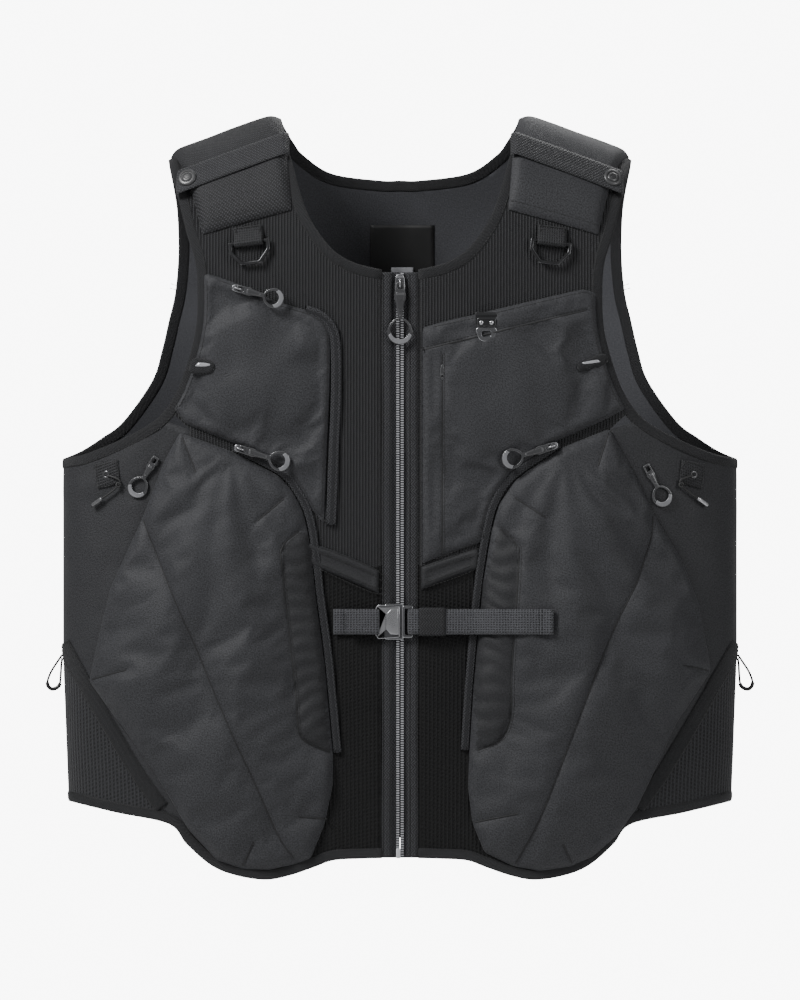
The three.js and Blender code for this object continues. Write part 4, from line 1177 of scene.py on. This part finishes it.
def shoulderPad(sideName, sign):
    columns, rows = padFacts["columns"], padFacts["rows"]
    grid = np.zeros((columns + 1, rows + 1, 2, 3))
    uv = np.zeros((columns + 1, rows + 1, 2))
    for i in range(columns + 1):
        for j in range(rows + 1):
            u, w = i / columns, j / rows
            x, z, side, phi = padPoint(u, w)
            fromEdge = min(u, 1 - u) * padWidth
            fromEnd = min(w, 1 - w) * padLength
            rim = 1 - math.exp(-min(fromEdge, fromEnd) / 1.6)
            inside = min(1, fromEdge / 12) * min(1, fromEnd / 26)
            lift = 2.8 + 3.0 * rim + padFacts["crown"] * math.sin(inside * math.pi / 2) ** 0.8
            seam = min(abs(fromEnd - padFacts["hem"]) / 1.3, abs(fromEdge - 3.2) / 1.0)
            lift -= padFacts["crease"] * math.exp(-seam * seam) * rim
            lift += 0.7 * noise.noise(Vector((x / 30, w * 9, 4 + sign))) * min(1, fromEnd / 20)
            along = phi * (1 if side > 0 else -1) * 115
            uv[i, j] = (x, along)
            for k, offset in enumerate((2.6, lift)):
                grid[i, j, k] = onForm(side, x, z, offset)[0]
    if sign > 0:
        grid[..., 0] *= -1
    pad = gridPiece("shoulder_cloth_" + sideName, grid, uv, dobbyCloth if sign < 0 else softshell,
                    replaces="shoulder_pad_" + sideName, slot="softshell")
    subdivided(pad)
    for w in (padFacts["hem"] / padLength, 1 - padFacts["hem"] / padLength):
        j = int(round(w * rows))
        stitchLines["shoulder"].append(grid[1:columns, j, 1] + np.array([0, -0.12, 0.12]))


def keeperStrap(sideName, sign):
    strapLine = []
    for x in np.concatenate([[-99.2, -100.2], np.linspace(-102, -197, 40), [-198.8, -199.6]]):
        end = min(1, (abs(x) - 99) / 3.5, (199.8 - abs(x)) / 3.0)
        offset = 4.4 + 5.4 * math.sin(max(0, end) * math.pi / 2)
        strapLine.append(onForm(-1, x, float(ridge(x)) - 28, offset)[0])
    strapLine = np.array(strapLine)
    upper = np.array([onForm(-1, p[0], float(ridge(p[0])) - 22, 0)[0] for p in strapLine])
    lower = np.array([onForm(-1, p[0], float(ridge(p[0])) - 34, 0)[0] for p in strapLine])
    across = (lower - upper) / np.linalg.norm(lower - upper, axis=1, keepdims=True)
    mirror = np.array([-1 if sign > 0 else 1, 1, 1])
    ribbon("keeper_webbing_" + sideName, strapLine * mirror, across * mirror, 25, 1.6, keeperCloth,
           body="keeper_" + sideName + "_body", replaces="keeper_strap_" + sideName, slot="webbing")
    capSeat = Seat(-189, float(ridge(-189)) - 28, 11.0, 0, sign > 0)
    capShape = [(7.4, -1.0), (8.2, -0.6), (8.4, 0.4), (8.1, 1.2), (7.3, 1.7), (5.9, 1.8), (5.5, 1.2),
                (5.0, 1.2), (4.4, 1.9), (2.9, 2.2), (2.6, 1.8), (2.2, 1.8), (1.9, 2.2), (0.2, 2.3)]
    lathe("snap_disc_" + sideName, capShape, capSeat, capPlastic, 48, body="keeper_" + sideName + "_body",
          replaces="snap_cap_" + sideName, slot="cap_plastic")


def ringTab(sideName, sign):
    ringSeat = Seat(-136, -107, 2.1, math.radians(7), sign > 0)
    fold = spline([(9, 1.6), (4, 1.9), (-1.6, 4.8), (-5.8, 6.2), (-8.2, 5.5), (-9, 3.1), (-8, 0.6), (-3, 0.4),
                   (9, 0.4)], 0.8)
    centre = ringSeat(np.stack([fold[:, 0] * 0, fold[:, 0], fold[:, 1]], 1))
    acrossTab = (ringSeat([(1, 0, 0)]) - ringSeat([(0, 0, 0)]))[0]
    ribbon("ring_webbing_" + sideName, centre, acrossTab, 26, 1.1, tabWebbing, replaces="ring_tab_" + sideName,
           slot="webbing")
    box = [(-11, 2.5), (11, 2.5), (11, 8.2), (-11, 8.2), (-11, 2.5)]
    stitchLines["front"].append(ringSeat([(a, b, 2.5 if b > 4 else 3.0) for a, b in box]))
    outer = spline([(-19, -5.2), (-18.6, -4.4), (0, -4.3), (18.6, -4.4), (19, -5.2), (19, -13.4), (18, -15.6),
                    (10.2, -25.2), (8.2, -26.6), (-8.2, -26.6), (-10.2, -25.2), (-18, -15.6),
                    (-19, -13.4)], 1.0, True)
    inner = [(-15.4, -7.7), (15.4, -7.7), (15.4, -13), (14.6, -14.4), (8.0, -22.6), (6.8, -23.4), (-6.8, -23.4),
             (-8.0, -22.6), (-14.6, -14.4), (-15.4, -13)]
    plate("ring_bar_" + sideName, outer, 1.7, 4.5, ringSeat, darkMetal, [inner], 1.25, 4, 60,
          body="d_ring_" + sideName + "_body", replaces="d_ring_" + sideName, slot="ring_metal")


for sideName, sign in bothSides:
    shoulderPad(sideName, sign)
    keeperStrap(sideName, sign)
    ringTab(sideName, sign)


class Caster:
    # finds how high the cloth stands over the form
    def __init__(self, *objs):
        verts, faces = [], []
        for obj in objs:
            first = len(verts)
            verts += [Vector(v.co) * 1000 for v in obj.data.vertices]
            faces += [tuple(first + k for k in p.vertices) for p in obj.data.polygons]
        self.tree = BVHTree.FromPolygons(verts, faces)

    def top(self, side, x, z, otherwise):
        p, n = onForm(side, x, z, 0)
        hit = self.tree.ray_cast(Vector(p + n * 70), Vector(-n), 72)
        return 70 - hit[3] if hit[0] is not None else otherwise


def sewn(group, caster, line, side=-1, otherwise=2.0, lift=0.08):
    path = spline(line, 1.6)
    points = []
    for x, z in path:
        offset = caster.top(side, x, z, otherwise) + lift
        points.append(onForm(side, x, z, offset)[0])
    stitchLines[group].append(np.array(points))


print("zips")


coilLift = 4.65
zipTapeTop = 4.6
coilLines = []


def zipStrip(name, path, width, under, replaces):
    stations = tapeStations(path, width, -1)
    strip(name, stations, under, zipTapeTop, 0.5, zipTape, across=10, replaces=replaces, slot="trim_tape")
    coilLines.append([((a[0] + b[0]) / 2, (a[1] + b[1]) / 2) for _, a, b in stations])


for sideName, sign, outline, first in (("right", -1, pouchRight, 15), ("left", 1, pouchLeft, 17)):
    edge = spline(outline[first:][::-1], 4)
    zipStrip("pouch_zip_tape_" + sideName, shifted(edge, -sign * 0.4), -sign * 7.0, 2.2,
             "pouch_zip_" + sideName)
chestZipPath = densePath([(-86, -177.5), (-75, -181.5), (-66.5, -189.5), (-62.6, -203), (-62, -243),
                          (-64, -300), (-66.5, -366)])
zipStrip("chest_zip_tape", chestZipPath, 9, 2.1, "chest_zip_right")

toothLines = []
for sideName, sign in bothSides:
    zs = np.linspace(-666, -139, 264)
    grid = []
    for z in zs:
        row = []
        for x, rise in ((0.2, 0.5), (3.0, 0.6), (6.6, 0.8), (7.2, 1.9), (8.0, 2.3), (12.0, 2.5), (15.8, 2.3),
                        (16.9, 1.2)):
            ripple = 0.25 * math.sin(z / 23.0 + x)
            row.append([(sign * x, -77.9, z), (sign * x, -halfDepth - rise - (ripple if x > 5 else 0), z)])
        grid.append(row)
    grid = np.array(grid, float)
    uv = np.stack([grid[:, :, 0, 0], grid[:, :, 0, 2]], -1)
    gridPiece("zip_tape_" + sideName, grid, uv, zipTape, replaces="zip_stringer_" + sideName, slot="trim_tape")
    start = -665 + (1.1 if sign > 0 else 0)
    toothLines.append(np.array([(sign * 1.95, -79.3, z) for z in (start, start + 2.2 * 238)]))
    for x in (8.6, 15.4):
        stitchLines["front"].append(np.array([(sign * x, -80.7, z) for z in np.linspace(-664, -142, 100)]))

pinSeat = Seat(0, -661, 0.4)
plate("zip_pin", roundRect(-3.4, 0.4, -5.5, 3.5, 1.0), 1.6, 4.4, pinSeat, paleSlider, bevel=0.6,
      slot="slider_metal")


def sliderPiece(name, seat, length, width, height, material, body, replaces, post=0.0):
    h = length / 2
    shield = [(-width / 2, -h + 2), (-width / 2 + 1.4, -h), (width / 2 - 1.4, -h), (width / 2, -h + 2),
              (width / 2 * 0.86, h - 2.4), (width / 2 * 0.5, h), (-width / 2 * 0.5, h),
              (-width / 2 * 0.86, h - 2.4)]
    plate(name, spline(shield, 1.0, True), 0 if not post else -1.0, height, seat, material, bevel=0.5,
          body=body, replaces=replaces, slot="slider_metal")
    arch = seat(spline([(0, -3.6, height - 0.4), (0, -3.3, height + 2.6), (0, -1.6, height + 4.0),
                        (0, 1.6, height + 4.0), (0, 3.3, height + 2.6), (0, 3.6, height - 0.4)], 0.6))
    tube(name + "_arch", arch, 0.8, material, 12, body=body, slot="slider_metal")


def pullOutline(length, loopWidth, tabWidth):
    r = loopWidth / 2
    centre = -length + r
    neck = centre + r
    widest = neck * 0.42
    half = [(2.6, 0.9), (3.2, 0.4), (3.4, -4), (tabWidth / 2, -8), (tabWidth / 2 + 0.3, widest),
            (tabWidth / 2 - 0.6, widest - 3), (2.1, neck + 4.5), (2.0, neck + 1.2)]
    arc = []
    for k in range(49):
        a = math.radians(64 - k / 48 * 308)
        stretch = 1 + 0.18 * max(0, math.sin(a)) ** 2
        arc.append((r * math.cos(a), centre + r * math.sin(a) * stretch))
    return half + arc + [(-a, b) for a, b in half[::-1]], centre, r


def pullPiece(name, seat, length, loopWidth, tabWidth, body, replaces):
    shape, centre, r = pullOutline(length, loopWidth, tabWidth)
    eye = roundRect(-1.8, 1.8, -5.4, -1.0, 0.6, 3)
    finger = []
    for k in range(40):
        a = 2 * math.pi * k / 40
        stretch = 1 + 0.3 * max(0, math.sin(a)) ** 2
        finger.append(((r - 2.6) * math.cos(a), centre + 0.9 + (r - 3.1) * math.sin(a) * stretch))
    plate(name, shape, -1, 1, seat, pullPlastic, [eye, finger], 0.6, 3, 50, body=body, replaces=replaces,
          slot="pull_plastic")
    low = (centre + r) * 0.46
    rib = spline([(-tabWidth / 2 + 1.5, low), (-1.2, centre + r + 4), (1.2, centre + r + 4),
                  (tabWidth / 2 - 1.5, low), (tabWidth / 2 - 1.6, -8.5),
                  (-tabWidth / 2 + 1.6, -8.5)], 1.0, True)
    plate(name + "_rib", rib, 0.7, 1.5, seat, pullPlastic, bevel=0.35, body=body, slot="pull_plastic")
    # painted highlight: a lighter crescent along the bottom of the finger loop
    arc = []
    for k in range(25):
        a = math.radians(196 + 148 * k / 24)
        arc.append(((r - 0.5) * math.cos(a), centre + (r - 0.5) * math.sin(a)))
    for k in range(25):
        a = math.radians(344 - 148 * k / 24)
        arc.append(((r - 2.9) * math.cos(a), centre + 1.2 + (r - 3.4) * math.sin(a)))
    plate(name + "_highlight_crescent", arc, 0.8, 1.5, seat, crescentHighlightPlastic, bevel=0.3, body=body, slot="pull_plastic")


eyeLift = 1.6
sliderPiece("main_slider", Seat(0, -149, 2.9), 15, 9, 1.8, sliderMetal, "main_slider", "zip_slider", 1)
pullPiece("main_pull", Seat(0, -149, 2.9 + 1.6 + eyeLift), 55, 22.5, 9.5, "main_pull", "zip_pull")
smallPulls = [("chest", "right", -145, -154, 5.9, -15, 43, 18),
              ("pouch", "right", -143, -298, 6.1, -17, 47, 18.5),
              ("pouch", "left", 136, -295.8, 6.1, -163, 47, 18.5)]
for zipName, sideName, x, z, offset, heading, length, loop in smallPulls:
    turn = math.radians(heading + 90)
    stem = zipName + "_pull_" + sideName
    slider = zipName + "_slider_" + sideName
    sliderPiece(zipName + "_runner_" + sideName, Seat(x, z, offset, turn), 11, 7, 1.8, sliderMetal,
                slider + "_body", slider)
    pullPiece(zipName + "_tab_" + sideName, Seat(x, z, offset + 1.8 + eyeLift, turn), length, loop, 7,
              stem + "_body", stem)
for sideName, x, z, heading in (("right", -219, -306, -122), ("left", 221, -313, -62)):
    turn = math.radians(heading + 90)
    pullPiece("side_tab_" + sideName, Seat(x, z, 3.6, turn), 41, 18.5, 7, "side_pull_" + sideName + "_body",
              "side_pull_" + sideName)
plate("slit_tab", ellipse(0, 0, 2.0, 7.0, 36), 0, 1.5, Seat(38, -229, 5.9), pullPlastic,
      [ellipse(0, -3.8, 0.8, 1.4, 16)], 0.5, body="slit_pull_body", replaces="slit_pull_left",
      slot="pull_plastic")

print("strap and buckle")


class PlaneSeat:
    def __call__(self, local):
        q = np.array(local, float)
        return np.stack([q[:, 0], -halfDepth - q[:, 2], chestStrapZ + q[:, 1]], 1)


buckle = PlaneSeat()


def strapPiece(name, line, thick, **facts):
    centre = buckle(np.stack([line[:, 0], line[:, 0] * 0, line[:, 1]], 1))
    ribbon(name, centre, np.array([0, 0, 1.0]), 23, thick, webbingCloth, slot="webbing", **facts)


hairpin = spline([(-60, 4.0), (-40, 4.0), (-24, 4.0), (-19.6, 4.3), (-18.2, 6.2), (-19.6, 8.1), (-24, 8.4),
                  (-48, 8.4)], 1.2)
strapPiece("strap_webbing_right", hairpin, 1.3, replaces="chest_strap_right")
pouchTop = Caster(made["pouch_cloth_left"])
tail = []
for x in np.arange(50, 139, 2.0):
    high = 8.4
    for dx in (-4, 0, 4):
        for dz in (-11, -6, 0, 6, 11):
            hit = pouchTop.tree.ray_cast(Vector((x + dx, -200, chestStrapZ + dz)), Vector((0, 1, 0)), 200)
            if hit[0] is not None:
                high = max(high, -hit[0].y - halfDepth + 1.2)
    tail.append((x, high))
tail = np.array(tail)
smoothed = tail.copy()
for _ in range(4):
    smoothed[1:-1, 1] = (smoothed[:-2, 1] + smoothed[1:-1, 1] * 2 + smoothed[2:, 1]) / 4
smoothed[:, 1] = np.maximum(smoothed[:, 1], tail[:, 1])
leftLine = spline([(60, 4.0), (40, 4.0), (14, 4.0), (8.8, 4.3), (7.2, 6.2), (8.8, 8.1), (14, 8.4), (30, 8.4)]
                  + pairs(smoothed), 1.6)
strapPiece("strap_webbing_left", leftLine, 1.3, replaces="chest_strap_left")
strapPiece("strap_end_fold", smoothed[-7:] + np.array([0, 1.35]), 1.2)
for x in (127.5, 136.5):
    y = -halfDepth - float(np.interp(x, smoothed[:, 0], smoothed[:, 1])) - 2.1
    stitchLines["front"].append(np.array([(x, y, chestStrapZ + k) for k in np.linspace(-10, 10, 12)]))
wrapped = np.array(roundRect(-12.3, 12.3, 2.6, 9.9, 1.6, 5))
ribbon("strap_loop", [(29, -halfDepth - b, chestStrapZ + a) for a, b in wrapped], (1, 0, 0), 24, 1.0, elastic,
       ring=True, body="strap_keeper_body", replaces="strap_keeper", slot="webbing")
hookOuter = [(-22, -12.5), (-19.5, -15.4), (-6, -14.6), (-1, -14), (-0.2, -13.2), (-0.2, 13.2), (-1, 14),
             (-6, 14.6), (-19.5, 15.4), (-22, 12.5)]
slotShape = [(-20.2, -12.8), (-13.4, -6.8), (-13.4, 6.8), (-20.2, 12.8)]
plate("buckle_catch", hookOuter, 5.2, 7.4, buckle, buckleMetal, [slotShape], 0.6, 3, 45,
      body="buckle_hook_body", replaces="buckle_hook", slot="buckle_metal")
bossShape = [(-12.6, -6.4), (-8.6, -11.2), (-2.4, -11.6), (-1.6, -10.8), (-1.6, 10.8), (-2.4, 11.6),
             (-8.6, 11.2), (-12.6, 6.4)]
plate("buckle_catch_boss", bossShape, 7.0, 8.5, buckle, buckleMetal, bevel=0.6,
      body="buckle_hook_body", slot="buckle_metal")
plate("buckle_back", roundRect(-14, 3.4, -16, 16, 2.0), 2.9, 4.8, buckle, buckleMetal, bevel=0.6, segments=3,
      replaces="buckle_frame", slot="buckle_metal")
plate("buckle_riser", roundRect(1.9, 4.0, -14.5, 14.5, 0.8), 4.4, 7.2, buckle, buckleMetal, bevel=0.4,
      slot="buckle_metal")
plate("buckle_bar", roundRect(2, 11.7, -14.5, 14.5, 2.2), 5.2, 7.4, buckle, buckleMetal,
      [roundRect(4.2, 9.4, -12, 12, 1.0)], 0.6, 3, 45, slot="buckle_metal")

print("clip, tabs and labels")
clipSeat = Seat(77.5, -188, 5.9)
plate("clip_backing", roundRect(-10, 10, 0, 13, 2.0), 0, 1.3, clipSeat, darkMetal, bevel=0.4,
      replaces="clip_base", slot="clip_metal")
plate("clip_block", roundRect(-8.5, 8.5, 0, 8, 1.6), 1.0, 4.4, clipSeat, darkMetal, bevel=0.8, segments=3,
      slot="clip_metal")
for k, x in enumerate((-4.6, 4.6)):
    lathe("clip_rivet_" + "ab"[k], [(1.9, 3.6), (1.9, 4.6), (1.5, 5.0), (0.2, 5.2)], clipSeat, sliderMetal,
          20, (x, 3.6), slot="clip_metal")
hookShape = spline([(-8, -0.9), (8, -0.9), (8.2, -7.6), (4.6, -12.8), (-4.6, -12.8), (-8.2, -7.6)], 0.8, True)
hookShape = [(a, min(b, -0.7)) for a, b in hookShape]
plate("clip_gate", hookShape, 0, 2.6, Seat(77.5, -188, 7.0), sliderMetal,
      [roundRect(-4.2, 4.2, -9.0, -3.8, 1.8)], 0.8, 3,
      50, body="clip_hook_body", replaces="clip_hook", slot="clip_metal")
gripShape = spline([(0, 0), (6, 1.6), (12, 5), (11, 8.4), (0, 11), (-2.4, 6)], 0.8, True)
plate("clip_handle", gripShape, 0, 3.4, Seat(92, -221.5, 6), pullPlastic, [ellipse(2.4, 5.8, 1.8, 1.8, 20)],
      1.2, 4, 60, replaces="clip_grip", slot="pull_plastic")

tabPlan = [(-275, -311), (-253, -307.5), (-251, -329), (-271, -334)]
tabStitches = [(-272, -313.5), (-255.5, -310.5), (-253.5, -326.5), (-269, -331.5), (-272, -313.5)]
for sideName, sign in bothSides:
    def tabSurface(panel):
        return 3.4 + 0.9 * (1 - np.exp(-panel.depth / 0.8))
    tab = Panel("cord_patch_" + sideName, -1, sided(tabPlan, sign), 2.2, 2.0, tabSurface, tabWebbing,
                replaces="cord_tab_" + sideName, slot="webbing")
    eyeSeat = Seat(-263.5, -321, 3.9, 0, sign > 0)
    rim = [(3.4, 0.0), (3.4, 0.5), (2.9, 0.9), (2.2, 0.9), (1.7, 0.5), (1.6, -0.4)]
    lathe("cord_eyelet_" + sideName, rim, eyeSeat, darkMetal, 28, slot="ring_metal")
    sewn("front", Caster(tab.obj), [(sign * abs(x), z) for x, z in tabStitches])

reflectorFacts = {"right": [(-184, -216.5), (-171, -218), (-166, -221.5), (-166.5, -227), (-172, -230.5),
                            (-188, -229)],
                  "left": [(182, -212), (166, -218.5), (159, -223.5), (160.5, -228), (167, -227.5),
                           (186, -220)]}
chestCaster = Caster(made["chest_cloth_right"], made["chest_cloth_left"])
for sideName, outline in reflectorFacts.items():
    middle = np.mean(outline, axis=0)
    top = chestCaster.top(-1, middle[0], middle[1], 6.0)

    def flapSurface(panel, top=top):
        return top + 1.4 + 1.0 * (1 - np.exp(-panel.depth / 1.0))
    Panel("reflector_flap_" + sideName, -1, spline(outline, 2, True), 2.0, top - 0.4, flapSurface, tape,
          slot="trim_tape")
    long = np.array(outline, float)
    core = middle + (long - middle) * np.array([0.62, 0.24]) + np.array([0, 1.6])
    Panel("reflector_bar_" + sideName, -1, spline(core, 2, True), 1.6, top + 1.8,
          lambda panel, top=top: top + 2.6 + 0 * panel.depth, reflective, slot="trim_tape")


def innerPatch(name, x0, x1, z0, z1, offset, material):
    columns, rows = 16, 14
    grid = np.zeros((columns + 1, rows + 1, 2, 3))
    uv = np.zeros((columns + 1, rows + 1, 2))
    for i in range(columns + 1):
        for j in range(rows + 1):
            x = x0 + (x1 - x0) * i / columns
            z = z0 + (z1 - z0) * j / rows
            rise = 0.5 * math.sin(i * 0.6) * j / rows
            grid[i, j, 0] = onForm(1, x, z, offset)[0]
            grid[i, j, 1] = onForm(1, x, z, offset - 0.6 - rise)[0]
            uv[i, j] = (x, z)
    return gridPiece(name, grid, uv, material, slot="softshell")


innerPatch("neck_label", -27, 31, -138, -94, -0.2, labelCloth)
innerPatch("size_tag", -8, 12, -143, -132.5, -2.2, whiteTag)

print("stitches")


def repeatTree(name, material, rounded):
    tree = bpy.data.node_groups.new(name, "GeometryNodeTree")
    face = tree.interface
    face.new_socket("Geometry", in_out="INPUT", socket_type="NodeSocketGeometry")
    for label in ("Pitch", "Length", "Width", "Height"):
        face.new_socket(label, in_out="INPUT", socket_type="NodeSocketFloat")
    face.new_socket("Geometry", in_out="OUTPUT", socket_type="NodeSocketGeometry")
    start = newNode(tree, "NodeGroupInput")
    end = newNode(tree, "NodeGroupOutput")
    spaced = newNode(tree, "GeometryNodeResampleCurve", mode="LENGTH")
    tree.links.new(start.outputs["Geometry"], spaced.inputs["Curve"])
    tree.links.new(start.outputs["Pitch"], spaced.inputs["Length"])
    if rounded:
        shape = newNode(tree, "GeometryNodeMeshCylinder", {"Vertices": 6})
        tree.links.new(start.outputs["Length"], shape.inputs["Depth"])
        tree.links.new(start.outputs["Width"], shape.inputs["Radius"])
    else:
        size = newNode(tree, "ShaderNodeCombineXYZ")
        for k, label in enumerate(("Width", "Height", "Length")):
            tree.links.new(start.outputs[label], size.inputs[k])
        shape = newNode(tree, "GeometryNodeMeshCube")
        tree.links.new(size.outputs[0], shape.inputs["Size"])
    tangent = newNode(tree, "GeometryNodeInputTangent")
    turn = newNode(tree, "FunctionNodeAlignRotationToVector", axis="Z")
    tree.links.new(tangent.outputs[0], turn.inputs["Vector"])
    placed = newNode(tree, "GeometryNodeInstanceOnPoints")
    tree.links.new(spaced.outputs[0], placed.inputs["Points"])
    tree.links.new(shape.outputs["Mesh"], placed.inputs["Instance"])
    tree.links.new(turn.outputs[0], placed.inputs["Rotation"])
    real = newNode(tree, "GeometryNodeRealizeInstances")
    tree.links.new(placed.outputs[0], real.inputs[0])
    finish = newNode(tree, "GeometryNodeSetMaterial")
    finish.inputs["Material"].default_value = material
    tree.links.new(real.outputs[0], finish.inputs["Geometry"])
    tree.links.new(finish.outputs[0], end.inputs["Geometry"])
    return tree


def repeated(name, tree, lines, values):
    holder = linked(name + "Line", polyCurve(name + "Line", [np.array(line) * mm for line in lines]))
    m = holder.modifiers.new("repeat", "NODES")
    m.node_group = tree
    sockets = {i.name: i.identifier for i in tree.interface.items_tree if i.in_out == "INPUT"}
    for label, value in values.items():
        m[sockets[label]] = value
    mesh = evaluatedMesh(holder)
    bpy.data.objects.remove(holder)
    mesh.name = name
    settle(linked(name, mesh), slot="trim_tape")
    print(name, len(mesh.polygons))


def seamCords(name, caster, lines, otherwise):
    runs = []
    for line in lines:
        runs.append([onForm(-1, x, z, caster.top(-1, x, z, otherwise) + 0.05)[0] * mm
                     for x, z in spline(line, 1.6)])
    curve = polyCurve(name + "Line", runs, bevel_depth=0.0006, bevel_resolution=1, use_fill_caps=True)
    obj = linked(name, curveMesh(name, curve, thread))
    return faceOutward(settle(obj, slot="trim_tape"))


threadTree = repeatTree("threadRun", thread, True)
toothTree = repeatTree("toothRun", teethPlastic, False)
backCaster = Caster(made["back_cloth"])
for sideName, facts in pouchFacts.items():
    caster = Caster(made["pouch_cloth_" + sideName])
    sewn("front", caster, shifted(spline(facts["inset"], 8), 2.2), otherwise=8)
    seamCords("pouch_seams_" + sideName, caster, [facts["diagonal"], facts["inset"]] + facts["darts"], 8)
for sideName, facts in chestFacts.items():
    caster = Caster(made["chest_cloth_" + sideName])
    edge = spline(spread(facts["outline"], -3.0), 5)
    sewn("front", caster, edge[2:-2], otherwise=5)
    for line in facts["seams"]:
        sewn("front", caster, shifted(spline(line, 8), 2.0), otherwise=6)
    if facts["seams"]:
        seamCords("chest_seams_" + sideName, caster, facts["seams"], 6)
for sideName, outline in waistFacts.items():
    caster = Caster(made["waist_cloth_" + sideName])
    for distance in (-0.9, -5.6):
        sewn("front", caster, spline(spread(outline, distance), 5)[1:-1], otherwise=4)
edgeCaster = Caster(neckTape, hemTape, made["armhole_tape_right"], made["armhole_tape_left"],
                    made["side_tape_right"], made["side_tape_left"])
for path, width, side, group in ((neckFrontPath, -8.2, -1, "front"), (neckBackPath, -8.2, 1, "back"),
                                 (armFrontPath, 8.2, -1, "front"), (armBackPath, 8.2, 1, "back"),
                                 (hemFrontPath, 8.2, -1, "front"), (hemBackPath, 8.2, 1, "back")):
    for sign in (-1, 1):
        line = sided(shifted(path, width)[2:-2], sign)
        sewn(group, edgeCaster, line, side, 2.4)
for distance in (-5.2, 5.2):
    for sign in (-1, 1):
        line = sided(shifted(sideBandPath, distance)[2:-2], sign)
        sewn("front", edgeCaster, line, -1, 2.8)
for line in backSeams:
    for gapSide in (-2.0, 2.0):
        sewn("back", backCaster, shifted(spline(line, 10), gapSide), 1, 2.0)
stitchSize = {"Pitch": 0.0034, "Length": 0.0024, "Width": 0.00032, "Height": 0.0004}
toothSize = {"Pitch": 0.0022, "Length": 0.0012, "Width": 0.0027, "Height": 0.0028}
coilSize = {"Pitch": 0.0012, "Length": 0.0007, "Width": 0.0024, "Height": 0.0006}
for group, lines in stitchLines.items():
    repeated("stitches_" + group, threadTree, lines, stitchSize)
repeated("zip_teeth", toothTree, toothLines, toothSize)
coils = [np.array([onForm(-1, x, z, coilLift)[0] for x, z in spline(line, 2)]) for line in coilLines]
repeated("pocket_zip_coils", repeatTree("coilRun", zipTape, False), coils, coilSize)

print("finish")
